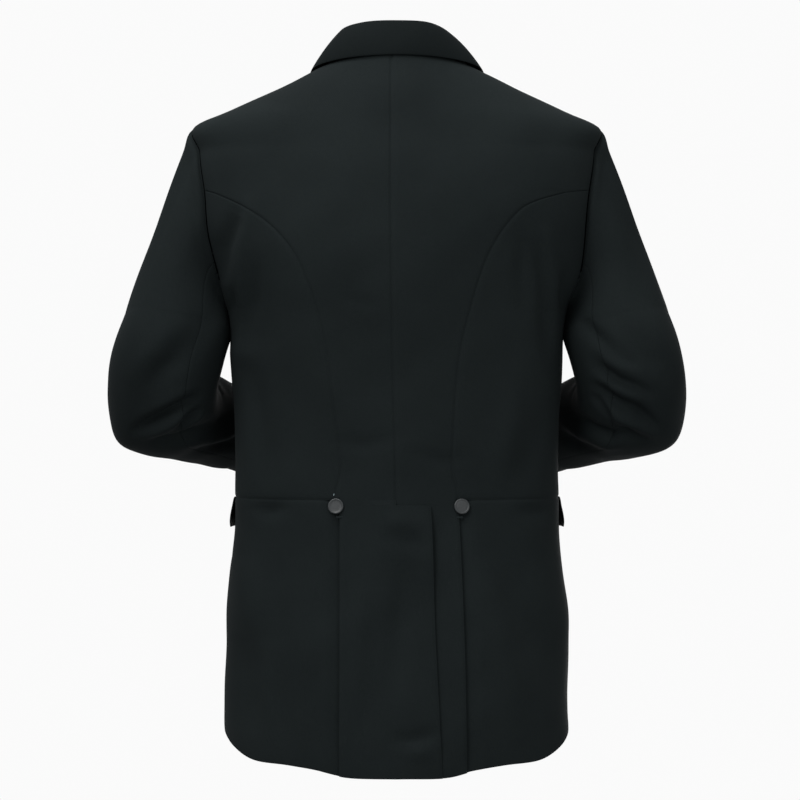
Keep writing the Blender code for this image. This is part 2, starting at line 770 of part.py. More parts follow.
def sleeve_grid(side):
    grid, loop_normals, convex = sleeve_rings(side)
    normals = ring_normals(grid)
    rows, columns = grid.shape[:2]
    for r in range(1, rows):
        for c in range(columns):
            grid[r, c] += normals[r, c] * crease_height(r / (rows - 1), c * 360 / columns, side)
    normals = ring_normals(grid)
    normals[0][convex] = loop_normals[convex]
    mirror = np.array((side, 1, 1))
    return grid * mirror, normals * mirror


def make_sleeves():
    for side, name in SIDES:
        grid, normals = sleeve_grid(side)
        count = grid.shape[1]
        pieces = (
            ("sleeve_top_", [c % count for c in range(FORE_SEAM - count, HIND_SEAM + 1)]),
            ("sleeve_under_", list(range(HIND_SEAM, FORE_SEAM + 1))),
        )
        for label, columns in pieces:
            part, part_normals = grid[:, columns].copy(), normals[:, columns]
            for edge, inner in ((0, 1), (-1, -2)):
                step = part[:, inner] - part[:, edge]
                part[:, edge] += step / np.linalg.norm(step, axis=1, keepdims=True) * SLEEVE_SEAM
            wall(label + name, part, part_normals, cloth_material(label + name))


# Buttons

def make_button(name, centre, normal, radius):
    """A flat disc with a rounded rim and a slightly dished face, turned round its own axis."""
    normal = normal / np.linalg.norm(normal)
    side_way = np.cross((0, 0, 1.0), normal)
    side_way /= np.linalg.norm(side_way)
    up_way = np.cross(normal, side_way)
    steps = BUTTON_STEPS
    vertices = []
    for part, rise in BUTTON_PROFILE:
        for i in range(steps):
            turn = 2 * math.pi * i / steps
            spot = side_way * math.cos(turn) + up_way * math.sin(turn)
            vertices.append(centre + spot * radius * part + normal * BUTTON_HIGH * rise)
    faces = [tuple(range(steps))[::-1]]
    for ring in range(len(BUTTON_PROFILE) - 1):
        for i in range(steps):
            a, b = ring * steps + i, ring * steps + (i + 1) % steps
            faces.append((a, b, b + steps, a + steps))
    faces.append(tuple(range((len(BUTTON_PROFILE) - 1) * steps, len(BUTTON_PROFILE) * steps)))
    closed_object(name, vertices, faces, button_material(name))


def make_buttons():
    for name, x in BACK_BUTTONS:
        angle = angle_of_x(x, BACK_BUTTON_LEVEL)
        normal = torso_normal(angle, BACK_BUTTON_LEVEL)
        place = torso(angle, BACK_BUTTON_LEVEL) + normal * BUTTON_OFF
        make_button("back_button_" + name, place, normal, BACK_BUTTON_RADIUS)
    for number, level in enumerate(FRONT_BUTTON_LEVELS, 1):
        normal = torso_normal(math.pi, level)
        place = torso(math.pi, level) + normal * BUTTON_OFF
        make_button(f"front_button_{number}", place, normal, FRONT_BUTTON_RADIUS)


def clear_scene():
    for old in list(bpy.data.objects):
        bpy.data.objects.remove(old)


def main():
    clear_scene()
    make_backs()
    make_side_bodies()
    make_fronts_and_lapels()
    make_skirts_and_flaps()
    make_collar()
    make_sleeves()
    make_buttons()


main()
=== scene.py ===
import math
import bpy
import numpy as np
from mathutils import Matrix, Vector


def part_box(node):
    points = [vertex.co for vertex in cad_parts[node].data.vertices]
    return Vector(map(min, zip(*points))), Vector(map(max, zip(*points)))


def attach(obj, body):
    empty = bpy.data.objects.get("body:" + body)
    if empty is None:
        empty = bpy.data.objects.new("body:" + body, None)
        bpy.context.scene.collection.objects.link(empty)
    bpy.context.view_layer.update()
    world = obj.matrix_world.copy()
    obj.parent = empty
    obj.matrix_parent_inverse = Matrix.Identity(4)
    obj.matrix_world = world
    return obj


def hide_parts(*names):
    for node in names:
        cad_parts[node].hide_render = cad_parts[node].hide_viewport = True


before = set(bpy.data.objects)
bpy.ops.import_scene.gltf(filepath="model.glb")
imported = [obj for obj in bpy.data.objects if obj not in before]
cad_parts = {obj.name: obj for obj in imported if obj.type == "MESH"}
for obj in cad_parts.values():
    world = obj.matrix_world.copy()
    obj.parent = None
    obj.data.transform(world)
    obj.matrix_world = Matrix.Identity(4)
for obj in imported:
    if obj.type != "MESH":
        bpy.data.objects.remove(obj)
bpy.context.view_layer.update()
print("frame loaded:", len(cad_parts), "nodes")

# Frock-style blazer in its worn shape. The front faces -Y, the back +Y, and its left side is at +X.
# The torso is one surface of rings: a level (0 at the neck, negative below) and an angle
# (0 at the centre back, pi at the centre front, positive towards the left side).
cloth = {"wall": 0.0018, "seam": -0.0002, "lap": 0.0023}
levels = {
    "neck": -0.0005, "shoulderTip": -0.063, "underarm": -0.283, "waist": -0.499,
    "ventTop": -0.505, "princessTop": -0.145, "lapelBreak": -0.300, "gorge": -0.058, "hem": -0.8080,
}
neckTilt = 0.25
sides = ((1, "left"), (-1, "right"))

torsoRings = {
    "columns": ("level", "halfWidth", "back", "front", "square"),
    "rows": (
        (0.000, 0.084, 0.060, 0.052, 2.00),
        (-0.014, 0.113, 0.067, 0.062, 2.00),
        (-0.028, 0.143, 0.075, 0.073, 2.00),
        (-0.042, 0.173, 0.084, 0.085, 2.05),
        (-0.056, 0.206, 0.092, 0.096, 2.15),
        (-0.066, 0.2315, 0.097, 0.103, 2.25),
        (-0.100, 0.235, 0.113, 0.121, 2.40),
        (-0.150, 0.231, 0.127, 0.136, 2.50),
        (-0.200, 0.226, 0.132, 0.143, 2.50),
        (-0.250, 0.214, 0.129, 0.144, 2.45),
        (-0.283, 0.199, 0.125, 0.142, 2.40),
        (-0.310, 0.1945, 0.121, 0.140, 2.40),
        (-0.336, 0.1935, 0.117, 0.138, 2.40),
        (-0.420, 0.189, 0.107, 0.135, 2.40),
        (-0.499, 0.189, 0.112, 0.137, 2.40),
        (-0.560, 0.191, 0.125, 0.141, 2.40),
        (-0.632, 0.199, 0.136, 0.146, 2.40),
        (-0.700, 0.2005, 0.142, 0.149, 2.40),
        (-0.810, 0.2005, 0.147, 0.152, 2.40),
    ),
}
backSeams = {
    "columns": ("level", "middle", "princess", "princessMiddle"),
    "rows": (
        (0.000, 0.0065, 0.2300, 0.0000),
        (-0.1445, 0.0065, 0.2230, 0.0000),
        (-0.150, 0.0065, 0.2000, 0.0080),
        (-0.158, 0.0065, 0.1783, 0.0128),
        (-0.166, 0.0065, 0.1611, 0.0141),
        (-0.176, 0.0064, 0.1468, 0.0122),
        (-0.187, 0.0062, 0.1348, 0.0100),
        (-0.218, 0.0060, 0.1114, 0.0060),
        (-0.2527, 0.0055, 0.0965, 0.0045),
        (-0.292, 0.0050, 0.0845, 0.0040),
        (-0.332, 0.0045, 0.0755, 0.0040),
        (-0.378, 0.0035, 0.0705, 0.0035),
        (-0.420, 0.0020, 0.0665, 0.0020),
        (-0.473, 0.0010, 0.0645, 0.0000),
        (-0.490, 0.0010, 0.0690, 0.0000),
        (-0.499, 0.0010, 0.0700, -0.0010),
        (-0.810, 0.0010, 0.0700, -0.0010),
    ),
    "curveBelow": -0.158,  # the princess seam is a smooth curve below this level
}
hem = {
    "columns": ("degrees", "level"),
    "rows": (
        (0, -0.8080), (14, -0.8065), (22, -0.8000), (32, -0.7960), (53, -0.7925), (68, -0.7815),
        (78, -0.7740), (90, -0.7690), (120, -0.7720), (160, -0.7860), (200, -0.7860),
    ),
    "corner": 0.085,  # radius of the rounded front corner
}
pleats = {
    "columns": ("level", "left", "right", "vent"),
    "rows": (
        (-0.499, 0.0665, -0.0695, -0.0375),
        (-0.520, 0.0645, -0.0705, -0.0390),
        (-0.650, 0.0640, -0.0755, -0.0430),
        (-0.810, 0.0645, -0.0790, -0.0510),
    ),
    "lay": 0.013,  # cloth of the skirt laid under the back panel
    "frontLap": 0.020,
}
frontEdge = {
    "columns": ("level", "edge", "lapelWidth"),
    "rows": (
        (0.000, 0.0800, 0.030),
        (-0.030, 0.0790, 0.050),
        (-0.058, 0.0730, 0.070),
        (-0.075, 0.0690, 0.080),
        (-0.100, 0.0630, 0.080),
        (-0.150, 0.0490, 0.074),
        (-0.200, 0.0340, 0.062),
        (-0.250, 0.0180, 0.042),
        (-0.290, 0.0030, 0.014),
        (-0.300, 0.0015, 0.006),
        (-0.312, -0.0100, 0.018),
        (-0.325, -0.0195, 0.032),
        (-0.360, -0.0200, 0.048),
        (-0.500, -0.0200, 0.048),
    ),
}


def readColumn(table, name, at, smooth=False):
    rows = np.array(sorted(table["rows"]), float)
    x, y = rows[:, 0], rows[:, table["columns"].index(name)]
    at = np.asarray(at, float)
    if not smooth:
        return np.interp(at, x, y)
    slope = np.gradient(y, x)
    i = np.clip(np.searchsorted(x, at) - 1, 0, len(x) - 2)
    gap = x[i + 1] - x[i]
    t = np.clip((at - x[i]) / gap, 0, 1)
    return hermite(t, y[i], gap * slope[i], y[i + 1], gap * slope[i + 1])


def hermite(t, start, leave, end, arrive):
    # from start to end, leaving and arriving along the two given ways
    begin = (2 * t**3 - 3 * t**2 + 1) * start + (t**3 - 2 * t**2 + t) * leave
    return begin + (3 * t**2 - 2 * t**3) * end + (t**3 - t**2) * arrive


def ease(t):
    t = np.clip(t, 0, 1)
    return t * t * (3 - 2 * t)


def unit(v):
    return v / np.linalg.norm(v, axis=-1, keepdims=True)


def runLength(points):
    # length travelled from the first point to each one, down the first axis
    steps = np.linalg.norm(np.diff(points, axis=0), axis=-1)
    return np.concatenate((np.zeros((1,) + steps.shape[1:]), np.cumsum(steps, 0)))


def torsoPoint(angle, level):
    angle, level = np.broadcast_arrays(np.asarray(angle, float), np.asarray(level, float))
    half, back, front, square = (readColumn(torsoRings, n, level, True) for n in torsoRings["columns"][1:])
    s, c = np.sin(angle), np.cos(angle)
    x = half * np.sign(s) * np.abs(s) ** (2 / square)
    y = np.where(c > 0, back, front) * np.sign(c) * np.abs(c) ** (2 / square)
    return np.stack((x, y, level + neckTilt * ease((level + 0.10) / 0.10) * y), -1)


def torsoNormal(angle, level):
    turn = torsoPoint(angle + 0.02, level) - torsoPoint(angle - 0.02, level)
    rise = torsoPoint(angle, level + 0.004) - torsoPoint(angle, level - 0.004)
    normal = unit(np.cross(rise, turn))
    outwards = np.stack((np.sin(angle), np.cos(angle), 0 * angle + 0.2), -1)
    return normal * np.where(np.sum(normal * outwards, -1, keepdims=True) < 0, -1, 1)


def angleOfX(x, level, front=False):
    half, square = (float(readColumn(torsoRings, n, level, True)) for n in ("halfWidth", "square"))
    angle = math.asin(min(abs(x) / half, 1.0) ** (square / 2))
    if front:
        return math.pi - angle if x >= 0 else math.pi + angle
    return math.copysign(angle, x)


def runPerTurn(angle, level):
    ahead, behind = torsoPoint(angle + 0.01, level), torsoPoint(angle - 0.01, level)
    return np.linalg.norm(ahead - behind, axis=-1) / 0.02


def stepAngle(angle, level, by):
    return angle + by / runPerTurn(angle, level)


# materials
clothLook = {
    "dark": (0.0049, 0.0064, 0.0067), "light": (0.0076, 0.0098, 0.0101),
    "twillEvery": 0.0011, "twillDeep": 0.00006, "napDeep": 0.00012,
}
buttonLook = {"dark": (0.0055, 0.0072, 0.0080), "light": (0.0105, 0.0130, 0.0142)}


def addNode(tree, kind, **inputs):
    node = tree.nodes.new(kind)
    for name, value in inputs.items():
        node.inputs[name].default_value = value
    return node


def mixedColour(tree, factor, dark, light, low=0.25, high=0.75):
    ramp = tree.nodes.new("ShaderNodeValToRGB")
    ramp.color_ramp.elements[0].position = low
    ramp.color_ramp.elements[0].color = (*dark, 1)
    ramp.color_ramp.elements[1].position = high
    ramp.color_ramp.elements[1].color = (*light, 1)
    tree.links.new(factor, ramp.inputs["Fac"])
    return ramp.outputs["Color"]


def newMaterial(name):
    made = bpy.data.materials.new(name)
    made.use_nodes = True
    return made, made.node_tree, made.node_tree.nodes["Principled BSDF"]


def roughBetween(tree, factor, low, high, shader):
    rough = addNode(tree, "ShaderNodeMapRange")
    rough.inputs["To Min"].default_value = low
    rough.inputs["To Max"].default_value = high
    tree.links.new(factor, rough.inputs["Value"])
    tree.links.new(rough.outputs["Result"], shader.inputs["Roughness"])


def gabardine(name, shade=1.0, roughness=0.80, sheen=0.004):
    # fine twill on the cloth's own UVs, with slow changes of tone where it is pressed and worn
    made, tree, shader = newMaterial(name)
    shader.inputs["Sheen Weight"].default_value = sheen
    shader.inputs["Sheen Roughness"].default_value = 0.45
    shader.inputs["Sheen Tint"].default_value = (0.75, 0.86, 0.92, 1)
    shader.inputs["Specular IOR Level"].default_value = 0.015
    place = tree.nodes.new("ShaderNodeTexCoord")
    turned = addNode(tree, "ShaderNodeMapping", Rotation=(0, 0, math.radians(63)))
    tree.links.new(place.outputs["UV"], turned.inputs["Vector"])
    twill = addNode(tree, "ShaderNodeTexWave", Scale=0.3142 / clothLook["twillEvery"], Distortion=0.6)
    twill.inputs["Detail Scale"].default_value = 3.0
    tree.links.new(turned.outputs["Vector"], twill.inputs["Vector"])
    nap = addNode(tree, "ShaderNodeTexNoise", Scale=900.0, Detail=3.0, Roughness=0.6)
    slow = addNode(tree, "ShaderNodeTexNoise", Scale=6.0, Detail=3.0, Roughness=0.5)
    for noise in (nap, slow):
        tree.links.new(place.outputs["Object"], noise.inputs["Vector"])
    # shade scales the whole colour: on the threads it is their own lighter colour, below 1 on the collar and
    # sleeves it is painted shade
    dark = [value * shade for value in clothLook["dark"]]
    light = [value * shade for value in clothLook["light"]]
    tone = mixedColour(tree, slow.outputs["Fac"], dark, light)
    thread = mixedColour(tree, nap.outputs["Fac"], (0.72, 0.74, 0.76), (1.22, 1.20, 1.18))
    blend = tree.nodes.new("ShaderNodeMix")
    blend.data_type, blend.blend_type = "RGBA", "MULTIPLY"
    blend.inputs[0].default_value = 1.0
    tree.links.new(tone, blend.inputs[6])
    tree.links.new(thread, blend.inputs[7])
    tree.links.new(blend.outputs[2], shader.inputs["Base Color"])
    roughBetween(tree, slow.outputs["Fac"], roughness - 0.07, roughness + 0.10, shader)
    ribs = addNode(tree, "ShaderNodeBump", Strength=0.55, Distance=clothLook["twillDeep"])
    fuzz = addNode(tree, "ShaderNodeBump", Strength=0.5, Distance=clothLook["napDeep"])
    tree.links.new(twill.outputs["Fac"], ribs.inputs["Height"])
    tree.links.new(nap.outputs["Fac"], fuzz.inputs["Height"])
    tree.links.new(fuzz.outputs["Normal"], ribs.inputs["Normal"])
    tree.links.new(ribs.outputs["Normal"], shader.inputs["Normal"])
    return made


def buttonFinish(name):
    made, tree, shader = newMaterial(name)
    shader.inputs["Specular IOR Level"].default_value = 0.32
    place = tree.nodes.new("ShaderNodeTexCoord")
    cloudy = addNode(tree, "ShaderNodeTexNoise", Scale=260.0, Detail=4.0)
    brushed = addNode(tree, "ShaderNodeTexNoise", Scale=1400.0, Detail=2.0)
    for noise in (cloudy, brushed):
        tree.links.new(place.outputs["Object"], noise.inputs["Vector"])
    tone = mixedColour(tree, cloudy.outputs["Fac"], buttonLook["dark"], buttonLook["light"])
    tree.links.new(tone, shader.inputs["Base Color"])
    roughBetween(tree, cloudy.outputs["Fac"], 0.34, 0.52, shader)
    grain = addNode(tree, "ShaderNodeBump", Strength=0.25, Distance=0.00008)
    tree.links.new(brushed.outputs["Fac"], grain.inputs["Height"])
    tree.links.new(grain.outputs["Normal"], shader.inputs["Normal"])
    return made


bodyCloth = gabardine("body_gabardine")
# the collar and its stand use the body's gabardine painted darker (0.74): painted shade
collarCloth = gabardine("collar_gabardine", shade=0.74)
# the sleeves use the body's gabardine painted a little darker (0.95): painted shade
sleeveCloth = gabardine("sleeve_gabardine", shade=0.95)
buttonGrey = buttonFinish("button_grey")
threadBlack = gabardine("sewing_thread", shade=1.7, roughness=0.60, sheen=0.01)
threadPale = gabardine("tacking_thread", shade=26.0, roughness=0.70, sheen=0.01)


def addPiece(name, vertices, faces, uvs, finish, sharp=50):
    mesh = bpy.data.meshes.new(name)
    mesh.from_pydata([tuple(v) for v in vertices], [], faces)
    if uvs is not None:
        layer = mesh.uv_layers.new(name="weave")
        corner = np.zeros(len(mesh.loops), int)
        mesh.loops.foreach_get("vertex_index", corner)
        layer.data.foreach_set("uv", np.asarray(uvs, float)[corner].ravel())
    mesh.shade_smooth()
    mesh.set_sharp_from_angle(angle=math.radians(sharp))
    mesh.materials.append(finish)
    made = bpy.data.objects.new(name, mesh)
    bpy.context.scene.collection.objects.link(made)
    return made


def wearAs(piece, node):
    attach(piece, "root")
    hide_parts(node)


def edges(top, bottom, start, end):
    return {"top": top, "bottom": bottom, "start": start, "end": end}


edgeRoll = {  # how far an edge dips, and over what length; a pressed edge also thins
    "softSeam": (0.00028, 0.0015), "seam": (0.00110, 0.0022), "pressed": (0.00035, 0.006),
    "thin": (0.00060, 0.0009), "rise": 0.00050,
}


def makeCloth(name, node, grid, borders, finish=bodyCloth):
    # a thin shell: the grid is its outside; at a seam it dips, at a free edge it is rounded
    outside, normals, uvs = grid
    rows, columns = outside.shape[:2]
    fromStart, fromTop = runLength(outside.swapaxes(0, 1)).T, runLength(outside)
    away = {
        "start": fromStart, "end": fromStart[:, -1:] - fromStart,
        "top": fromTop, "bottom": fromTop[-1:] - fromTop,
    }
    dip = np.zeros((rows, columns))
    rise = np.zeros((rows, columns))
    for side, distance in away.items():
        kind = borders[side]
        if kind == "plain":
            continue
        deep, reach = edgeRoll[kind]
        fall = deep * np.exp(-((distance / reach) ** 2))
        if kind == "pressed":
            thin = np.exp(-distance / edgeRoll["thin"][1])
            fall = edgeRoll["thin"][0] * thin + fall
            rise = np.maximum(rise, edgeRoll["rise"] * thin)
        dip = np.maximum(dip, fall)
    top = outside - normals * dip[..., None]
    low = outside - normals * (cloth["wall"] - rise)[..., None]
    vertices = np.concatenate((top.reshape(-1, 3), low.reshape(-1, 3)))
    r, c = np.meshgrid(np.arange(rows - 1), np.arange(columns - 1), indexing="ij")
    a = (r * columns + c).ravel()
    quads = np.stack((a, a + 1, a + columns + 1, a + columns), 1)
    under = rows * columns
    rim = list(range(columns)) + [i * columns + columns - 1 for i in range(1, rows)]
    rim += [(rows - 1) * columns + i for i in range(columns - 2, -1, -1)]
    rim += [i * columns for i in range(rows - 2, 0, -1)]
    rim = np.array(rim)
    ahead = np.roll(rim, -1)
    wall = np.stack((ahead, rim, rim + under, ahead + under), 1)
    faces = np.concatenate((quads, quads[:, ::-1] + under, wall))
    i, j = rows // 2, columns // 2
    way = np.cross(outside[i, j] - outside[i, j - 1], outside[i, j] - outside[i - 1, j])
    if way @ normals[i, j] < 0:
        faces = faces[:, ::-1]
    uvs = np.concatenate((uvs.reshape(-1, 2), uvs.reshape(-1, 2)))
    wearAs(addPiece(name, vertices, faces.tolist(), uvs, finish), node)


# Folds and drag lines of the torso: half (1 back, -1 front), width, height, and x and z along the fold
torsoFolds = (
    (1, 0.0105, -0.00798, ((0.1797, -0.1771), (0.1999, -0.2131), (0.2055, -0.2535))),  # left armpit trough
    # left armpit ridge
    (1, 0.0085, 0.00494, ((0.1685, -0.1648), (0.1774, -0.2153), (0.183, -0.2512), (0.1887, -0.2804))),
    (1, 0.0095, -0.00684, ((0.1628, -0.231), (0.1673, -0.2748), (0.1808, -0.3074))),  # left side trough
    (1, 0.0050, -0.00646, ((0.1887, -0.258), (0.1909, -0.2872))),  # left underarm nick
    (1, 0.0140, 0.00380, ((0.1864, -0.3186), (0.1763, -0.3321), (0.1583, -0.3366))),  # left side swell
    (1, 0.0130, -0.00380, ((0.1673, -0.3478), (0.1561, -0.4085), (0.1471, -0.4646))),  # left side dip
    (1, 0.0080, 0.00266, ((0.1729, -0.3692), (0.1696, -0.4309), (0.1685, -0.4758))),  # left side ridge
    (1, 0.0095, -0.00494, ((-0.1404, -0.2018), (-0.1415, -0.24), (-0.146, -0.2872))),  # right blade trough
    # right armpit trough
    (1, 0.0075, -0.00532, ((-0.1583, -0.2108), (-0.1685, -0.258), (-0.1729, -0.3366))),
    (1, 0.0070, 0.00494, ((-0.1696, -0.1973), (-0.1797, -0.249), (-0.1808, -0.3411))),  # right armpit ridge
    (1, 0.0080, -0.00760, ((-0.1932, -0.2378), (-0.1909, -0.2827))),  # right underarm nick
    (1, 0.0160, -0.00494, ((-0.1662, -0.386), (-0.155, -0.4422), (-0.1381, -0.4848))),  # right side dip
    (1, 0.0120, 0.00266, ((-0.1381, -0.3635), (-0.1247, -0.4309), (-0.1157, -0.4758))),  # right side ridge
    (1, 0.0070, -0.00190, ((0.0752, -0.4309), (0.0359, -0.4365), (-0.0011, -0.4287))),  # waist drag left
    (1, 0.0050, -0.00152, ((0.0584, -0.2737), (0.0191, -0.2793))),  # waist drag middle
    (1, 0.0070, -0.00190, ((-0.0146, -0.4444), (-0.0539, -0.4556), (-0.082, -0.4489))),  # waist drag right
    # dent under left waist seam
    (1, 0.0085, -0.00570, ((0.1651, -0.5095), (0.1471, -0.5118), (0.1269, -0.5084))),
    # dent under right waist seam
    (1, 0.0080, -0.00342, ((-0.1381, -0.5118), (-0.1606, -0.5129), (-0.1786, -0.5095))),
    (1, 0.0100, 0.00304, ((0.0146, -0.5253), (-0.0079, -0.523), (-0.0303, -0.5275))),  # vent top swell
    (1, 0.0100, -0.00247, ((0.0191, -0.5387), (-0.0079, -0.5455), (-0.0371, -0.55))),  # vent top dip
    (1, 0.0150, -0.00494, ((-0.0135, -0.5612), (-0.0056, -0.6331), (0.0011, -0.7004))),  # vent long dip
    (1, 0.0130, 0.00342, ((0.0348, -0.5881), (0.0416, -0.6555), (0.0438, -0.7341))),  # vent long ridge
    (1, 0.0060, -0.00380, ((0.0034, -0.7645), (-0.0213, -0.7622), (-0.046, -0.7555))),  # hem crease
    (1, 0.0080, 0.00342, ((-0.0124, -0.7791), (-0.0393, -0.7768))),  # hem swell
    # right skirt fall
    (1, 0.0230, -0.00798, ((-0.0999, -0.5208), (-0.1381, -0.6061), (-0.1696, -0.678), (-0.1898, -0.7409))),
    # right skirt ridge
    (1, 0.0200, 0.00570, ((-0.0865, -0.5657), (-0.1089, -0.6331), (-0.1291, -0.7229), (-0.1381, -0.7791))),
    (1, 0.0200, 0.00570, ((0.1763, -0.5657), (0.1696, -0.6106), (0.1628, -0.6555))),  # left skirt hip swell
    (1, 0.0180, -0.00608, ((0.1763, -0.6555), (0.1696, -0.7117), (0.1628, -0.7678))),  # left skirt side dip
    # left skirt narrow dip
    (1, 0.0090, -0.00418, ((0.1314, -0.678), (0.1325, -0.7229), (0.1303, -0.7656))),
    (1, 0.0150, 0.00380, ((0.1089, -0.5657), (0.1056, -0.6555), (0.0999, -0.7678))),  # left skirt ridge
    # left drag from the button
    (-1, 0.0140, -0.00494, ((0.030, -0.400), (0.075, -0.386), (0.120, -0.375))),
    # right drag from the button
    (-1, 0.0140, -0.00494, ((-0.030, -0.400), (-0.080, -0.388), (-0.130, -0.380))),
    (-1, 0.0130, -0.00418, ((0.030, -0.412), (0.080, -0.430), (0.130, -0.450))),  # left lower drag
    (-1, 0.0130, -0.00418, ((-0.030, -0.412), (-0.080, -0.428), (-0.125, -0.446))),  # right lower drag
    (-1, 0.0110, -0.00570, ((0.192, -0.205), (0.182, -0.245), (0.173, -0.285))),  # left armpit, front
    (-1, 0.0110, -0.00570, ((-0.193, -0.205), (-0.183, -0.245), (-0.174, -0.285))),  # right armpit, front
    (-1, 0.0250, -0.00608, ((0.100, -0.530), (0.112, -0.640), (0.120, -0.750))),  # left skirt fall, front
    # right skirt fall, front
    (-1, 0.0250, -0.00608, ((-0.104, -0.530), (-0.114, -0.640), (-0.122, -0.750))),
    (-1, 0.0220, 0.00494, ((0.160, -0.560), (0.168, -0.650), (0.172, -0.750))),  # left skirt swell, front
    # right skirt swell, front
    (-1, 0.0220, 0.00494, ((-0.160, -0.560), (-0.168, -0.650), (-0.172, -0.750))),
    (-1, 0.0180, 0.00380, ((0.060, -0.540), (0.066, -0.640), (0.068, -0.740))),  # left skirt edge swell
    (-1, 0.0180, 0.00380, ((-0.062, -0.540), (-0.068, -0.640), (-0.070, -0.740))),  # right skirt edge swell
)


def alongLine(points, line):
    # share along a line of several points, and distance from it
    line = np.array(line, float)
    passed = runLength(line)
    best = np.full(points.shape[:-1], 9.0)
    where = np.zeros(points.shape[:-1])
    for i, length in enumerate(np.diff(passed)):
        way = (line[i + 1] - line[i]) / length
        t = np.clip((points - line[i]) @ way, 0, length)
        distance = np.linalg.norm(points - line[i] - t[..., None] * way, axis=-1)
        nearer = distance < best
        best = np.where(nearer, distance, best)
        where = np.where(nearer, (passed[i] + t) / passed[-1], where)
    return where, best


def foldShape(points, width, height, line):
    share, distance = alongLine(points, line)
    return height * (0.25 + 0.75 * np.sin(np.pi * share) ** 0.8) * np.exp(-((distance / width) ** 2))


def ripple(x, z):
    # the slight unevenness of hanging cloth
    return (
        0.00045 * np.sin(38 * x + 17 * z + 1.0) + 0.00040 * np.sin(-21 * x + 46 * z + 2.2)
        + 0.00030 * np.sin(71 * x - 33 * z + 0.4) + 0.00022 * np.sin(64 * x + 92 * z + 3.0)
    )


def foldHeight(points):
    total = ripple(points[..., 0] + 0.4 * points[..., 1], points[..., 2])
    for half, width, height, line in torsoFolds:
        weight = ease(0.5 + half * points[..., 1] / 0.03)
        total = total + weight * foldShape(points[..., (0, 2)], width, height, line)
    return total


# seams and edges on the torso, as angles

armhole = {
    "middle": -0.173, "half": 0.110, "back": math.radians(19), "front": math.radians(23), "round": 0.8,
}


def armholeAngle(level, front):
    turn = np.arccos(np.clip((np.asarray(level) - armhole["middle"]) / armhole["half"], -1, 1))
    reach = armhole["front"] if front else -armhole["back"]
    return math.pi / 2 + reach * np.sin(turn) ** armhole["round"]


def middleAngle(level):
    return angleOfX(float(readColumn(backSeams, "middle", level)), level)


def princessAngle(level, side):
    columns, smooth = ("princessMiddle", "princess"), level < backSeams["curveBelow"]
    middle, away = (float(readColumn(backSeams, name, level, smooth)) for name in columns)
    return abs(angleOfX(middle * side + away, level))


def pleatX(level, side):
    return abs(float(readColumn(pleats, "left" if side > 0 else "right", level)))


def frontAngle(x, level):
    angle = angleOfX(abs(x), level, front=True)
    return angle if x >= 0 else 2 * math.pi - angle


def frontEdgeX(level):
    return float(readColumn(frontEdge, "edge", level))


def hemLevel(angle, fromFront):
    base = readColumn(hem, "level", np.abs(np.degrees(angle)), True)
    short = np.clip(hem["corner"] - fromFront, 0, hem["corner"] * 0.98)
    return base + hem["corner"] - np.sqrt(hem["corner"] ** 2 - short**2)


def hung(level, angle, fromFront):
    # a level below the waist, stretched so that the last row is the hem
    if level >= levels["waist"]:
        return np.full_like(angle, level)
    share = (levels["waist"] - level) / (levels["waist"] - levels["hem"])
    return levels["waist"] + (hemLevel(angle, fromFront) - levels["waist"]) * share


def rowsThrough(stops, gap=0.006):
    # levels from the highest stop to the lowest one, no further apart than the gap
    stops = sorted(set(round(stop, 5) for stop in stops), reverse=True)
    rows = [stops[0]]
    for low in stops[1:]:
        count = max(1, math.ceil((rows[-1] - low) / gap - 1e-6))
        rows += list(np.linspace(rows[-1], low, count + 1)[1:])
    return rows


edgeSteps = (0.0, 0.0005, 0.0012, 0.0022, 0.0036)  # fine steps for the roll of a seam or an edge


def nearEdge(level, way):
    return [level + way * step for step in edgeSteps]


def spread(level, start, end, count):
    # angles with a few narrow columns at both ends and even ones between, the same at every level
    fine = np.linspace(start, end, 90)
    run = runLength(torsoPoint(fine, level))
    narrow = np.array(edgeSteps) * min(1.0, run[-1] / 0.030)
    even = np.linspace(narrow[-1], run[-1] - narrow[-1], count)[1:-1]
    return np.interp(np.concatenate((narrow, even, run[-1] - narrow[::-1])), run, fine)


princessRows = -np.arange(0.1458, 0.192, 0.0021)
armholeRows = list(armhole["middle"] + armhole["half"] * np.cos(np.linspace(0, math.pi, 37)))
weaveTurns = np.linspace(-1, 7.5, 900)  # the weave is measured round the body at one level
weaveRun = runLength(torsoPoint(weaveTurns, -0.4))


def torsoGrid(rows, anglesAt, liftAt, side, skirted=False):
    outside, normals, uvs = [], [], []
    for level in rows:
        angles = np.asarray(anglesAt(level))
        fromFront = np.full_like(angles, 1.0)
        if skirted:
            edge = frontAngle(-pleats["frontLap"], level)
            fromFront = np.abs(edge - angles) * runPerTurn(angles, level)
        at = hung(level, angles, fromFront)
        normal = torsoNormal(angles * side, at)
        point = torsoPoint(angles * side, at)
        lift = liftAt(torsoPoint(angles * side, level), angles * side, level) + foldHeight(point)
        outside.append(point + normal * lift[:, None])
        normals.append(normal)
        uvs.append(np.stack((np.interp(angles, weaveTurns, weaveRun), at), -1))
    return np.array(outside), np.array(normals), np.array(uvs)


def dipUnder(away, begins, ends):
    return -cloth["lap"] * (1 - ease((away - begins) / (ends - begins)))


def noLift(point, angle, level):
    return 0.0 * angle


# centre backs, the left one over the right one at the vent

backPanel = {"even": 40, "flat": (0.215, 0.845), "area": 0.120, "ventColumns": 9}
ventLayer = {
    "raised": 0.014, "rise": 0.026, "gape": 0.0042, "gapeLevel": -0.548, "gapeLong": 0.045,
    "pleatCurl": 0.0011, "recess": 0.0018,
}


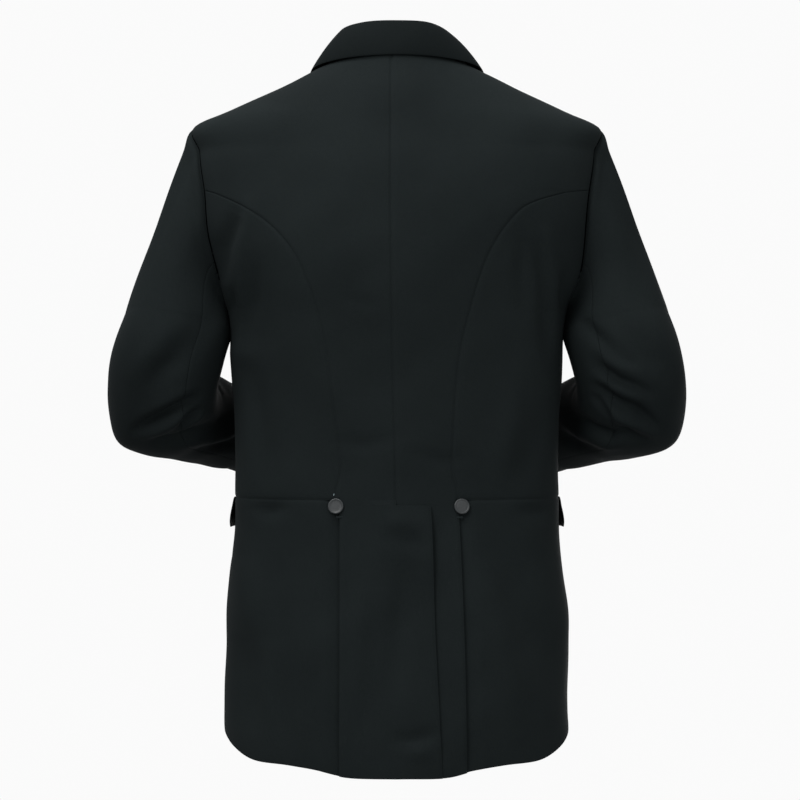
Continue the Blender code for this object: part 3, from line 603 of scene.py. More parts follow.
def backAngles(side):
    def anglesAt(level):
        middle = stepAngle(side * middleAngle(level), level, cloth["seam"] / 2)
        if level > levels["shoulderTip"]:
            end = stepAngle(math.pi / 2, level, -cloth["seam"] / 2)
        elif level > levels["princessTop"]:
            end = float(armholeAngle(level, False))
        elif level > levels["waist"]:
            end = stepAngle(princessAngle(level, side), level, -cloth["seam"] / 2)
        else:
            end = angleOfX(pleatX(level, side), level)
        main = spread(level, middle, end, backPanel["even"])
        if side < 0:
            return main
        if level < levels["ventTop"]:
            edge = angleOfX(float(readColumn(pleats, "vent", level)), level)
            return np.concatenate((spread(level, edge, middle, backPanel["ventColumns"])[:-1], main))
        squeezed = np.linspace(0, 0.35, backPanel["ventColumns"] + 8)[:-1]  # columns kept for the vent
        main = main.copy()
        first = main[0] + (main[4] - main[0]) * squeezed
        main[:4] = main[0] + (main[4] - main[0]) * np.array((0.36, 0.5, 0.68, 0.84))
        return np.concatenate((first, main))

    return anglesAt


def backLift(side):
    def liftAt(point, angle, level):
        below = float(ease((levels["waist"] - 0.014 - level) / 0.02) * ease((level + 0.800) / 0.03))
        fromPleat = pleatX(level, side) - point[:, 0] * side
        curl = ventLayer["pleatCurl"] * below * np.exp(-((fromPleat / 0.008) ** 2))
        if level > levels["ventTop"] + 0.001:
            return curl
        edge = float(readColumn(pleats, "vent", level))
        if side < 0:
            return curl - below * ventLayer["recess"] * np.exp(-(((point[:, 0] - edge) / 0.009) ** 2))
        raised = cloth["lap"] * (1 - ease((point[:, 0] - ventLayer["raised"]) / ventLayer["rise"]))
        away = (point[:, 0] - edge) / 0.016
        down = (level - ventLayer["gapeLevel"]) / ventLayer["gapeLong"]
        return raised + curl + ventLayer["gape"] * np.exp(-(away**2) - down**2)

    return liftAt


def makeBacks():
    top = [levels["neck"], -0.014, -0.028, -0.042, -0.054, levels["shoulderTip"] + 0.0002]
    around = [level for level in armholeRows if level > levels["princessTop"]]
    rest = [-0.1445, -0.420, -0.473, -0.490, -0.4987, -0.4990] + list(princessRows)
    vent = [-0.5041, levels["ventTop"] + 0.0003, levels["ventTop"] - 0.0003, -0.5062]
    stops = top + around + rest + vent
    rows = rowsThrough(nearEdge(levels["neck"], -1) + stops + nearEdge(levels["hem"], 1))
    for side, name in sides:
        grid = torsoGrid(rows, backAngles(side), backLift(side), side)
        borders = edges("seam", "pressed", "seam", "seam")
        makeCloth("back_panel_" + name, "back_" + name, grid, borders)
    print("centre backs made")


makeBacks()


# side bodies

sidePanel = {"even": 26, "flat": (0.20, 0.37), "area": 0.060}


def sideAngles(side):
    def anglesAt(level):
        if level > levels["princessTop"]:  # the tip between the armhole and the princess seam
            tip = float(armholeAngle(level, False))
            return spread(level, tip - 0.001, tip, sidePanel["even"])
        start = stepAngle(princessAngle(level, side), level, cloth["seam"] / 2)
        if level >= levels["underarm"]:
            return spread(level, start, float(armholeAngle(level, False)), sidePanel["even"])
        return spread(level, start, stepAngle(math.pi / 2, level, -cloth["seam"] / 2), sidePanel["even"])

    return anglesAt


def makeSideBodies():
    around = [level for level in armholeRows if level < -0.160]
    bottom = levels["waist"] + cloth["seam"] / 2
    stops = around + [-0.1446, -0.420, -0.473, -0.490] + list(princessRows) + nearEdge(bottom, 1)
    for side, name in sides:
        grid = torsoGrid(rowsThrough(stops), sideAngles(side), noLift, side)
        borders = edges("plain", "seam", "seam", "seam")
        makeCloth("side_body_" + name + "_cloth", "side_body_" + name, grid, borders)
    print("side bodies made")


makeSideBodies()

# fronts with their lapels, the left one over the right one

frontPanel = {"even": 22, "lapelEven": 16, "flat": (0.34, 0.52), "area": 0.128, "outside": 0.3}
lapelLayer = {"roll": 0.0030, "rollWide": 0.014, "edgeLift": 0.0014, "flat": (0.09, 0.26), "area": 0.0165}
frontLapping = {"down": 0.023, "up": 0.050, "starts": -0.22, "grows": 0.07}


def frontAngles(level):
    start = stepAngle(math.pi / 2, level, cloth["seam"] / 2)
    if levels["underarm"] <= level <= levels["shoulderTip"]:
        start = float(armholeAngle(level, True))
    end = frontAngle(frontEdgeX(level), level)
    lapel = frontAngle(frontEdgeX(level) + float(readColumn(frontEdge, "lapelWidth", level)), level)
    lapel = max(lapel, start + frontPanel["outside"] * (end - start))
    body = spread(level, start, lapel, frontPanel["even"])[:-4]
    return np.concatenate((body[:-1], spread(level, lapel, end, frontPanel["lapelEven"])))


def frontLift(side):
    def liftAt(point, angle, level):
        if side > 0:
            return 0.0 * angle
        return dipUnder(-point[:, 0], frontLapping["down"], frontLapping["up"]) * float(
            ease((frontLapping["starts"] - level) / frontLapping["grows"])
        )

    return liftAt


def makeFronts():
    top = [-0.014, -0.028, -0.042, -0.054] + nearEdge(levels["neck"], -1) + nearEdge(levels["gorge"], -1)
    low = [-0.292, -0.312, -0.326, -0.345] + nearEdge(levels["lapelBreak"], 1)
    low += nearEdge(levels["waist"] + cloth["seam"] / 2, 1)
    rows = rowsThrough(top + armholeRows + low)
    for side, name in sides:
        grid = torsoGrid(rows, frontAngles, frontLift(side), side)
        borders = edges("seam", "seam", "seam", "pressed")
        makeCloth("front_panel_" + name, "front_" + name, grid, borders)
        low, high = levels["lapelBreak"] - 1e-4, levels["gorge"] + 1e-4
        chosen = [i for i, row in enumerate(rows) if low < row < high]
        first = -(frontPanel["lapelEven"] + 8)
        face, faceNormals, faceUvs = (values[chosen][:, first:] for values in grid)
        fromFold = np.linalg.norm(face - face[:, -1:], axis=2)
        long = np.linalg.norm(face[:, :1] - face[:, -1:], axis=2)
        rolled = lapelLayer["roll"] * np.exp(-((fromFold / lapelLayer["rollWide"]) ** 2)) * ease(long / 0.04)
        lift = cloth["lap"] + 0.0003 + rolled + lapelLayer["edgeLift"] * ease(fromFold / 0.05)
        borders = edges("pressed", "pressed", "pressed", "pressed")
        grid = (face + faceNormals * lift[..., None], faceNormals, faceUvs)
        makeCloth("lapel_facing_" + name, "lapel_" + name, grid, borders)
    print("fronts and lapels made")


makeFronts()

# skirts and pocket flaps, hung from the waist seam

skirtPanel = {"even": 90, "under": 8, "flat": (0.52, 0.34), "area": 0.160}
skirtDips = {"pleatStart": 0.002, "pleatEnd": 0.018, "pleatGap": 0.0015, "recess": 0.0018}
flapPiece = {
    "high": 0.036, "flare": 0.0045, "corner": 0.16, "swell": 0.0006, "flat": (0.17, 0.05), "area": 0.0064,
}


def skirtAngles(side):
    def anglesAt(level):
        pleat = pleatX(level, side)
        inside = angleOfX(pleat - pleats["lay"], level)
        fold = stepAngle(angleOfX(pleat, level), level, skirtDips["pleatGap"])
        end = frontAngle(-pleats["frontLap"], level)
        laid = np.linspace(inside, fold, skirtPanel["under"])[:-1]
        return np.concatenate((laid, spread(level, fold, end, skirtPanel["even"])))

    return anglesAt


def skirtLift(side):
    def liftAt(point, angle, level):
        x = point[:, 0] * side
        pleat = pleatX(level, side)
        behind = dipUnder(x, pleat + skirtDips["pleatStart"], pleat + skirtDips["pleatEnd"])
        behind = behind - skirtDips["recess"] * np.exp(-(((x - pleat) / 0.008) ** 2))
        before = dipUnder(x, frontLapping["down"], frontLapping["up"]) if side < 0 else 0.0 * angle
        return np.where(np.cos(angle) > 0, behind, before)

    return liftAt


def makeSkirts():
    top = nearEdge(levels["waist"] - cloth["seam"], -1)
    rows = rowsThrough([-0.512, -0.530] + top + nearEdge(levels["hem"], 1))
    for side, name in sides:
        grid = torsoGrid(rows, skirtAngles(side), skirtLift(side), side, skirted=True)
        borders = edges("seam", "pressed", "plain", "pressed")
        makeCloth("skirt_panel_" + name, "skirt_" + name, grid, borders)
        makeFlap(side, name)
    print("skirts and flaps made")


def makeFlap(side, name):
    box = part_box("pocket_flap_" + name)
    front, back = sorted((box[0][1], box[1][1]))
    even = list(np.linspace(0.06, 0.94, 34))
    shares = np.array([0, 0.004, 0.010, 0.02, 0.035] + even + [0.965, 0.98, 0.99, 0.996, 1])
    fine = np.linspace(0.9, 2.6, 400)
    there = torsoPoint(fine, -0.51)
    run, yAt = runLength(there), there[:, 1]
    first, last = np.interp(-back, -yAt, run), np.interp(-front, -yAt, run)
    angles = np.interp(first + (last - first) * shares, run, fine)
    rows, rowNormals, uvs = [], [], []
    for share in (0.012, 0.03, 0.06, 0.12, 0.2, 0.3, 0.4, 0.5, 0.6, 0.7, 0.8, 0.88, 0.94, 0.965, 0.985, 1.0):
        corner = np.clip(1 - np.minimum(shares, 1 - shares) / 0.07, 0, 1) ** 2
        rounding = flapPiece["high"] * flapPiece["corner"] * corner * share
        level = levels["waist"] - cloth["seam"] - flapPiece["high"] * share + rounding
        normal = torsoNormal(angles * side, level)
        point = torsoPoint(angles * side, level)
        swell = flapPiece["swell"] * np.sin(math.pi * share) * (1 + 0.6 * np.sin(shares * 7.0 + side))
        lift = cloth["lap"] + flapPiece["flare"] * float(ease(share)) + swell + foldHeight(point)
        rows.append(point + normal * lift[:, None])
        rowNormals.append(normal)
        uvs.append(np.stack((np.interp(angles, weaveTurns, weaveRun), level), -1))
    grid = [np.array(values) for values in (rows, rowNormals, uvs)]
    borders = edges("seam", "pressed", "pressed", "pressed")
    makeCloth("hip_flap_" + name, "pocket_flap_" + name, grid, borders)


makeSkirts()

# collar: fall turned down over the stand

collar = {
    # degrees and level of the base, x, y and z of the fold, degrees and level of the outer edge
    "rows": (
        (0, 0.0000, 0.0000, 0.0590, 0.0487, 0, -0.0080),
        (30, 0.0000, 0.0365, 0.0520, 0.0480, 30, -0.0085),
        (58, 0.0000, 0.0600, 0.0310, 0.0400, 58, -0.0092),
        (82, 0.0000, 0.0665, 0.0060, 0.0290, 82, -0.0080),
        (104, -0.0005, 0.0695, -0.0170, 0.0145, 100, -0.0095),
        (133, -0.0120, 0.0725, -0.0400, -0.0030, 114, -0.0155),
        (148, -0.0300, 0.0750, -0.0640, -0.0280, 128, -0.0270),
        (156, -0.0480, 0.0750, -0.0870, -0.0545, 139, -0.0430),
    ),
    "columns": 150, "lay": 0.0040, "bulge": 0.004, "rollRadius": 0.0019, "leavesNeck": 103,
    "leftWider": 0.0050, "leftHigher": 0.0022,
    "flat": (0.50, 0.075), "area": 0.0225,
}
collarStand = {
    "inside": 0.0018, "below": 0.0016, "clear": 0.0024, "lift": -0.0014,
    "flat": (0.46, 0.05), "area": 0.0115,
}


def smoothThrough(rows, count):
    rows = np.array(rows, float)
    padded = np.vstack((2 * rows[0] - rows[1], rows, 2 * rows[-1] - rows[-2]))
    steps = np.linspace(0, len(rows) - 1, count)
    i = np.minimum(steps.astype(int), len(rows) - 2)
    t = (steps - i)[:, None]
    a, b, c, d = (padded[i + k] for k in range(4))
    return 0.5 * (2 * b + (c - a) * t + (2 * a - 5 * b + 4 * c - d) * t**2 + (3 * b - a - 3 * c + d) * t**3)


def makeCollar():
    mirrored = [(-r[0], r[1], -r[2], r[3], r[4], -r[5], r[6]) for r in collar["rows"][:0:-1]]
    lines = smoothThrough(mirrored + list(collar["rows"]), collar["columns"] + 1)
    nearCorner = np.exp(-(((lines[:, 0] - 56) / 20) ** 2))
    lines[:, 2] += collar["leftWider"] * nearCorner
    lines[:, 4] += collar["leftHigher"] * nearCorner
    ends = [0.04, 0.1, 0.25, 0.5]
    last = collar["columns"]
    spots = np.concatenate(([0], ends, np.arange(1, last), last - np.array(ends[::-1]), [last]))
    lines = np.stack([np.interp(spots, np.arange(collar["columns"] + 1), lines[:, k]) for k in range(7)], 1)
    up = np.array((0, 0, 1.0))
    fall, fallNormals, stand, standNormals = [], [], [], []
    for number, (baseTurn, baseLevel, x, y, z, edgeTurn, edgeLevel) in enumerate(lines):
        fold = np.array((x, y, z))
        turn = math.radians(edgeTurn)
        edge = torsoPoint(turn, edgeLevel) + torsoNormal(np.array(turn), np.array(edgeLevel)) * collar["lay"]
        away = edge - fold
        away[2] = 0
        away = unit(away)
        wave = 1 + 0.25 * math.sin(number * 0.21 + 0.6) + 0.15 * math.sin(number * 0.37)
        control = (fold + edge) / 2 + (away + up) * collar["bulge"] * wave
        start = unit(control - fold)
        a, b = float(start @ away), float(start @ up)
        firstNormal = unit(-b * away + a * up)
        line, lineNormals = [], []
        for theta in np.linspace(math.atan2(a, b), 0, 11)[:-1]:  # the roll over the fold
            normal = firstNormal * math.cos(theta) - unit(a * away + b * up) * math.sin(theta)
            line.append(fold - firstNormal * collar["rollRadius"] + normal * collar["rollRadius"])
            lineNormals.append(normal)
        steps = np.concatenate((np.linspace(0, 0.93, 22), (0.955, 0.972, 0.985, 0.994, 1.0)))
        for s in steps:
            line.append((1 - s) ** 2 * fold + 2 * s * (1 - s) * control + s * s * edge)
            tangent = 2 * (1 - s) * (control - fold) + 2 * s * (edge - control)
            lineNormals.append(unit(-float(tangent @ up) * away + float(tangent @ away) * up))
        fall.append(line)
        fallNormals.append(lineNormals)
        baseAngle = math.radians(baseTurn)
        if abs(baseTurn) > collar["leavesNeck"]:
            followed = frontAngle(frontEdgeX(baseLevel) - collarStand["clear"], baseLevel)
            baseAngle = math.copysign(followed, baseTurn)
        base = torsoPoint(baseAngle, min(baseLevel, levels["neck"]))
        top = fold - up * collarStand["below"] - away * collarStand["inside"]
        rise = unit(top - base)
        base = base + rise * collarStand["lift"]
        stand.append(base + (top - base) * np.linspace(0, 1, 16)[:, None])
        standNormals.append(np.tile(unit(np.cross(np.cross(rise, away), rise)), (16, 1)))
    for label, node, points, normals, values, kind in (
        ("collar_turned_down", "collar_fall", fall, fallNormals, collar, "pressed"),
        ("collar_band", "collar_stand", stand, standNormals, collarStand, "seam"),
    ):
        points, normals = (np.array(rows).transpose(1, 0, 2) for rows in (points, normals))
        uvs = np.stack((runLength(points.swapaxes(0, 1)).T, runLength(points)), -1)
        borders = edges("plain", kind, kind, kind)
        makeCloth(label, node, (points, normals, uvs), borders, collarCloth)
    print("collar made")


makeCollar()

# sleeves: a full head set in the armhole, then a bent tube with creases at the elbow

sleeve = {
    "columns": ("x", "y", "z", "across", "deep"),
    "rows": (
        (0.2590, 0.006, -0.300, 0.0600, 0.0700),
        (0.2660, 0.014, -0.332, 0.0640, 0.0680),
        (0.2725, 0.006, -0.364, 0.0645, 0.0640),
        (0.2735, -0.018, -0.388, 0.0640, 0.0610),
        (0.2630, -0.052, -0.399, 0.0615, 0.0580),
        (0.2420, -0.090, -0.406, 0.0575, 0.0550),
        (0.2130, -0.134, -0.418, 0.0535, 0.0515),
        (0.1760, -0.178, -0.431, 0.0490, 0.0475),
        (0.1530, -0.203, -0.438, 0.0470, 0.0450),
    ),
    "leave": 0.75, "arrive": 0.42, "lean": 0.85, "inset": 0.00045, "seamInset": 0.0002,
    "headRings": 46, "tubeRings": 165, "hindSeam": 120, "foreSeam": 255,
    "length": 0.50, "radius": 0.060, "roping": 0.0028, "elbowFrom": 0.03, "elbowTo": 0.17, "elbowRings": 2.4,
}
sleeveTopPiece = {"even": 124, "flat": (0.34, 0.66), "area": 0.140}
sleeveUnderPiece = {"even": 60, "flat": (0.18, 0.56), "area": 0.054}

# Folds of the sleeves: side (1 left, -1 right), width, height, and x outwards and z along the fold
elbowFolds = (
    # main trough
    (1, 0.0052, -0.01288, ((0.2283, -0.3814), (0.2581, -0.398), (0.2825, -0.4101), (0.3043, -0.4222))),
    (1, 0.0075, 0.00445, ((0.2374, -0.3745), (0.2661, -0.3917), (0.2948, -0.4055))),  # ridge above
    (1, 0.0062, 0.00896, ((0.242, -0.3952), (0.2581, -0.4101), (0.2902, -0.4284))),  # bright ridge
    (1, 0.0034, -0.00857, ((0.2271, -0.3963), (0.242, -0.4078), (0.2523, -0.417))),  # short trough
    (1, 0.0032, 0.00423, ((0.2237, -0.4009), (0.2374, -0.4124))),  # short ridge
    # lower trough
    (1, 0.0060, -0.00992, ((0.2007, -0.4055), (0.226, -0.4216), (0.2535, -0.4319), (0.2873, -0.4353))),
    (1, 0.0062, 0.00854, ((0.1824, -0.4135), (0.2053, -0.4273), (0.2436, -0.4393))),  # lower ridge
    (1, 0.0055, -0.00922, ((0.1847, -0.4284), (0.1984, -0.4388), (0.2374, -0.4456))),  # under trough
    (1, 0.0150, -0.00881, ((0.2351, -0.3229), (0.2655, -0.3493), (0.2879, -0.3768))),  # soft arm trough
    (1, 0.0150, 0.00407, ((0.2546, -0.3114), (0.2833, -0.3401), (0.3017, -0.3745))),  # soft arm ridge
    # first trough
    (-1, 0.0060, -0.00992, (
        (-0.2122, -0.2965), (-0.2312, -0.3172), (-0.2458, -0.3325), (-0.2718, -0.3459),
    )),
    (-1, 0.0065, 0.00560, ((-0.226, -0.3229), (-0.2397, -0.3378), (-0.265, -0.3539))),  # first ridge
    # second trough
    (-1, 0.0052, -0.00966, (
        (-0.2237, -0.3424), (-0.2351, -0.3516), (-0.2506, -0.3642), (-0.2725, -0.3711), (-0.2913, -0.3791),
    )),
    (-1, 0.0060, 0.00551, ((-0.2294, -0.3608), (-0.2558, -0.3745), (-0.2822, -0.3871))),  # second ridge
    # main trough
    (-1, 0.0050, -0.01279, (
        (-0.2283, -0.3699), (-0.242, -0.3826), (-0.2558, -0.3917),
        (-0.273, -0.3963), (-0.289, -0.4078), (-0.2994, -0.4158),
    )),
    # main ridge
    (-1, 0.0055, 0.00834, ((-0.2305, -0.3883), (-0.2489, -0.4032), (-0.2764, -0.4147), (-0.2982, -0.425))),
    (-1, 0.0034, -0.00907, ((-0.226, -0.3814), (-0.2374, -0.3952), (-0.2489, -0.4066))),  # short trough
    # inner trough
    (-1, 0.0060, -0.00937, (
        (-0.2042, -0.3998), (-0.2283, -0.4204), (-0.2489, -0.4273), (-0.2673, -0.4239),
    )),
    # lower ridge
    (-1, 0.0060, 0.00806, ((-0.1938, -0.4078), (-0.2168, -0.425), (-0.2466, -0.4388), (-0.2627, -0.4376))),
    (-1, 0.0050, -0.00693, ((-0.2535, -0.4181), (-0.2718, -0.4284), (-0.2879, -0.4319))),  # lower trough
    (-1, 0.0055, -0.00813, ((-0.1938, -0.425), (-0.2145, -0.4399), (-0.2374, -0.4468))),  # under trough
    (-1, 0.0150, -0.00646, ((-0.2535, -0.3057), (-0.2787, -0.3309), (-0.3017, -0.3539))),  # soft arm trough
)
# Creases inside the elbow: share along the sleeve (0 head, 1 cuff) and degrees round it at both ends
insideCreases = (
    (0.16, 140, 0.40, 115, 0.016, -0.0026),
    (0.58, 265, 0.60, 205, 0.011, -0.0045),
    (0.66, 260, 0.65, 205, 0.011, -0.0038),
    (0.62, 275, 0.63, 330, 0.009, -0.0034),
    (0.55, 280, 0.57, 340, 0.009, -0.0030),
    (0.70, 290, 0.69, 345, 0.010, -0.0026),
    (0.12, 300, 0.30, 325, 0.012, -0.0022),
    (0.84, 20, 0.86, 120, 0.012, -0.0014),
)


def creaseHeight(along, turns, points, normals, side):
    spots = np.stack(np.broadcast_arrays(along * sleeve["length"], turns * sleeve["radius"]), -1)
    scale = np.array((sleeve["length"], math.radians(1) * sleeve["radius"]))
    total = ripple(points[..., 0] * 1.3 + side * points[..., 1], points[..., 2])
    for along0, round0, along1, round1, width, height in insideCreases:
        total += foldShape(spots, width, height, np.array(((along0, round0), (along1, round1))) * scale)
    behind = ease(normals[..., 1] * 1.5 + 0.15)
    for which, width, height, line in elbowFolds:
        if which == side:
            outwards = np.abs(line) * np.array((1, -1))
            total += behind * foldShape(points[..., (0, 2)], width, height, outwards)
    return total


# Whole parts of the sleeve moved a little: x outwards and z of the middle, reach, and the move in x and z
sleeveShifts = (
    (0.318, -0.428, 0.030, 0.0075, -0.0065),  # point of the elbow
    (0.203, -0.302, 0.032, -0.0080, 0.0),  # inner side against the torso
)


def shifted(grid):
    for x, z, reach, moveX, moveZ in sleeveShifts:
        distance = np.linalg.norm(grid[..., (0, 2)] - np.array((x, z)), axis=-1)
        grid = grid + np.exp(-((distance / reach) ** 2))[..., None] * np.array((moveX, 0, moveZ))
    return grid


def turnsBetween(start, end, even):
    narrow = np.array((0, 0.010, 0.022, 0.038, 0.060))
    middle = np.linspace(start + narrow[-1], end - narrow[-1], even)[1:-1]
    return np.concatenate((start + narrow, middle, end - narrow[::-1]))


def sleeveRings(turns, side):
    level = armhole["middle"] + armhole["half"] * np.cos(turns)
    angle = np.where(np.sin(turns) >= 0, armholeAngle(level, False), armholeAngle(level, True))
    loop, loopNormals = torsoPoint(angle, level), torsoNormal(angle, level)
    ahead = np.roll(loop, -1, 0) - np.roll(loop, 1, 0)
    inside = unit(np.cross(loopNormals, ahead))
    inside *= np.where(np.sum(inside * (loop.mean(0) - loop), 1) < 0, -1, 1)[:, None]
    mirrorLoop = loop * np.array((side, 1, 1))
    loop = loop + inside * sleeve["inset"] + loopNormals * foldHeight(mirrorLoop)[:, None]
    fine = smoothThrough(sleeve["rows"], 401)
    run = runLength(fine[:, :3])
    nearElbow = ease((run - sleeve["elbowFrom"]) / 0.02) * ease((sleeve["elbowTo"] - run) / 0.02)
    dense = 1 + (sleeve["elbowRings"] - 1) * nearElbow
    counted = np.concatenate(([0], np.cumsum(np.diff(run) * (dense[1:] + dense[:-1]) / 2)))
    where = np.interp(np.linspace(0, counted[-1], sleeve["tubeRings"]), counted, run)
    where = np.sort(np.concatenate((where, run[-1] - np.array((0.0005, 0.0012)))))
    stations = np.stack([np.interp(where, run, fine[:, i]) for i in range(5)], 1)
    ways = unit(np.gradient(stations[:, :3], where, axis=0))
    back, rings = np.array((0.0, 1.0, 0.0)), []
    for station, way in zip(stations, ways):
        back = unit(back - way * (back @ way))
        out = np.cross(way, back)
        wide, deep = np.outer(np.cos(turns), out), np.outer(np.sin(turns), back)
        rings.append(station[:3] + wide * station[3] + deep * station[4])
    chord = rings[0] - loop
    reach = np.linalg.norm(chord, axis=1, keepdims=True)
    lean = (sleeve["lean"] * (1 - np.cos(turns)) / 2)[:, None]
    leave = unit(chord / reach * (1 - lean) + np.array((1.0, 0.0, -0.15)) * lean) * sleeve["leave"] * reach
    arrive = ways[0] * reach * sleeve["arrive"]
    even = np.linspace(0.045, 1, sleeve["headRings"])[:-1]
    shares = np.concatenate(((0, 0.004, 0.010, 0.018, 0.028), even))
    head = [hermite(t, loop, leave, rings[0], arrive) for t in shares]
    along = np.concatenate((shares * 8 / 29, (8 + 21 * where / run[-1]) / 29))
    convex = np.sum(leave * loopNormals, 1) < 0
    return np.array(head + rings), loopNormals, convex, along


def ringNormals(grid):
    around = np.roll(grid, -1, 1) - np.roll(grid, 1, 1)
    down = np.gradient(grid, axis=0)
    normals = unit(np.cross(around, down))
    outwards = grid - grid.mean(1, keepdims=True)
    return normals * np.where(np.sum(normals * outwards, -1, keepdims=True) < 0, -1, 1)


def evened(height, passes=3):
    # softens the kinks where two stretches of a fold meet
    for _ in range(passes):
        height = (np.roll(height, 1, 1) + 2 * height + np.roll(height, -1, 1)) / 4
        inner = (height[:-2] + 2 * height[1:-1] + height[2:]) / 4
        height = np.concatenate((height[:1], inner, height[-1:]))
    return height


def makeSleeves():
    hind, fore = math.radians(sleeve["hindSeam"]), math.radians(sleeve["foreSeam"])
    topTurns = turnsBetween(fore - 2 * math.pi, hind, sleeveTopPiece["even"])
    underTurns = turnsBetween(hind, fore, sleeveUnderPiece["even"])
    turns = np.concatenate((topTurns, underTurns[1:-1]))
    for side, name in sides:
        grid, loopNormals, convex, along = sleeveRings(turns, side)
        grid = np.concatenate((grid[:1], shifted(grid[1:])))
        normals = ringNormals(grid)
        height = creaseHeight(along[:, None], (turns % (2 * math.pi))[None, :], grid, normals, side)
        fromHead = runLength(grid)
        upper = ease(np.cos(turns) * 0.9 + 0.5)[None, :]
        height += sleeve["roping"] * upper * np.exp(-(((fromHead - 0.009) / 0.0065) ** 2))
        height = evened(height) * ease(fromHead / 0.006)
        grid = grid + normals * height[..., None]
        normals = ringNormals(grid)
        normals[0][convex] = loopNormals[convex]
        mirror = np.array((side, 1, 1))
        uvs = np.stack(np.broadcast_arrays(turns[None, :] * sleeve["radius"], -fromHead), -1)
        nTop = len(topTurns)
        for label, node, columns, values in (
            ("sleeve_upper_", "sleeve_top_", list(range(nTop)), sleeveTopPiece),
            ("sleeve_lower_", "sleeve_under_", list(range(nTop - 1, len(turns))) + [0], sleeveUnderPiece),
        ):
            part = grid[:, columns].copy()
            for edge, inner in ((0, 1), (-1, -2)):
                part[:, edge] += unit(part[:, inner] - part[:, edge]) * sleeve["seamInset"]
            partUvs = uvs[:, columns].copy()
            if columns[-1] == 0:
                partUvs[:, -1, 0] = fore * sleeve["radius"]
            borders = edges("seam", "pressed", "softSeam", "softSeam")
            cut = (part * mirror, normals[:, columns] * mirror, partUvs)
            makeCloth(label + name, node + name, cut, borders, sleeveCloth)
    print("sleeves made")


makeSleeves()

# buttons: turned discs with a rounded rim and a dished face

buttons = {
    "back": (("back_button_left", 0.0686), ("back_button_right", -0.0732)),
    "backLevel": -0.506, "backRadius": 0.0090,
    "frontLevels": (-0.318, -0.398, -0.478), "frontRadius": 0.0100, "high": 0.0032, "steps": 64,
    "profile": (  # share of the radius, share of the height
        (0.80, 0.0), (0.92, 0.04), (0.985, 0.20), (1.0, 0.42), (0.995, 0.62), (0.97, 0.82), (0.93, 0.95),
        (0.88, 1.0), (0.83, 0.99), (0.78, 0.93), (0.74, 0.87), (0.68, 0.84), (0.5, 0.83), (0.25, 0.83),
    ),
}


def makeButton(node, angle, level, radius):
    normal = torsoNormal(np.array(angle), np.array(level))
    point = torsoPoint(angle, level)
    centre = point + normal * (2 * cloth["seam"] + float(foldHeight(point)))
    across = unit(np.cross((0, 0, 1.0), normal))
    upward = np.cross(normal, across)
    steps = buttons["steps"]
    vertices = [centre]
    for share, rise in buttons["profile"]:
        for i in range(steps):
            turn = 2 * math.pi * i / steps
            spot = across * math.cos(turn) + upward * math.sin(turn)
            vertices.append(centre + spot * radius * share + normal * buttons["high"] * rise)
    vertices.append(centre + normal * buttons["high"] * buttons["profile"][-1][1])
    last = len(vertices) - 1
    faces = [(0, 1 + (i + 1) % steps, 1 + i) for i in range(steps)]
    for ring in range(len(buttons["profile"]) - 1):
        for i in range(steps):
            a, b = 1 + ring * steps + i, 1 + ring * steps + (i + 1) % steps
            faces.append((a, b, b + steps, a + steps))
    faces += [(last, last - steps + i, last - steps + (i + 1) % steps) for i in range(steps)]
    made = addPiece(node + "_disc", vertices, faces, None, buttonGrey, sharp=60)
    wearAs(made, node)


def makeButtons():
    for node, x in buttons["back"]:
        level = buttons["backLevel"]
        makeButton(node, angleOfX(x, level), level, buttons["backRadius"])
    for number, level in enumerate(buttons["frontLevels"], 1):
        makeButton(f"front_button_{number}", math.pi, level, buttons["frontRadius"])
    print("buttons made")


makeButtons()


# sewing: each stitch is a short rounded tube that lies on the cloth
sewing = {
    "sides": 8, "thread": 0.00032, "pitch": 0.00062, "clear": 0.0002, "holeHalf": 0.0013,
    "holeLong": 0.0205, "holeStart": 0.0035, "tackLong": 0.0065, "pleatTack": 0.0035,
    "palePlace": (0.0707, -0.4916), "paleLong": 0.0026, "paleThread": 0.00045,
}


def onTorso(x, level, front=False, lift=0.0):
    angle = angleOfX(x, level, front)
    normal = torsoNormal(np.array(angle), np.array(level))
    point = torsoPoint(angle, level)
    return point + normal * (float(foldHeight(point)) + lift), normal


def onStretch(first, last, lift, front=False):
    # two spots on the cloth, and the way it faces at the first
    start, normal = onTorso(*first, front, lift)
    return start, onTorso(*last, front, lift)[0], normal


def stitchTube(start, end, normal, radius, vertices, faces):
    way = unit(end - start)
    across = np.cross(way, normal)
    count, base = sewing["sides"], len(vertices)
    shares = (0.0, 0.12, 0.30, 0.5, 0.70, 0.88, 1.0)
    for share in shares:
        swell = math.sin(math.pi * min(max(share, 0.04), 0.96)) ** 0.5
        middle = start + (end - start) * share
        for i in range(count):
            turn = 2 * math.pi * i / count
            spot = across * math.cos(turn) + normal * (math.sin(turn) * 0.8 + 0.25 * swell)
            vertices.append(middle + spot * radius * swell)
    for ring in range(len(shares) - 1):
        for i in range(count):
            a, b = base + ring * count + i, base + ring * count + (i + 1) % count
            faces.append((a, a + count, b + count, b))
    faces.append(tuple(base + i for i in range(count)))
    faces.append(tuple(base + (len(shares) - 1) * count + i for i in reversed(range(count))))


def sewOn(name, stitches, finish):
    vertices, faces = [], []
    for start, end, normal, radius in stitches:
        stitchTube(np.array(start), np.array(end), np.array(normal), radius, vertices, faces)
    made = addPiece(name, vertices, faces, None, finish, sharp=70)
    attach(made, "root")


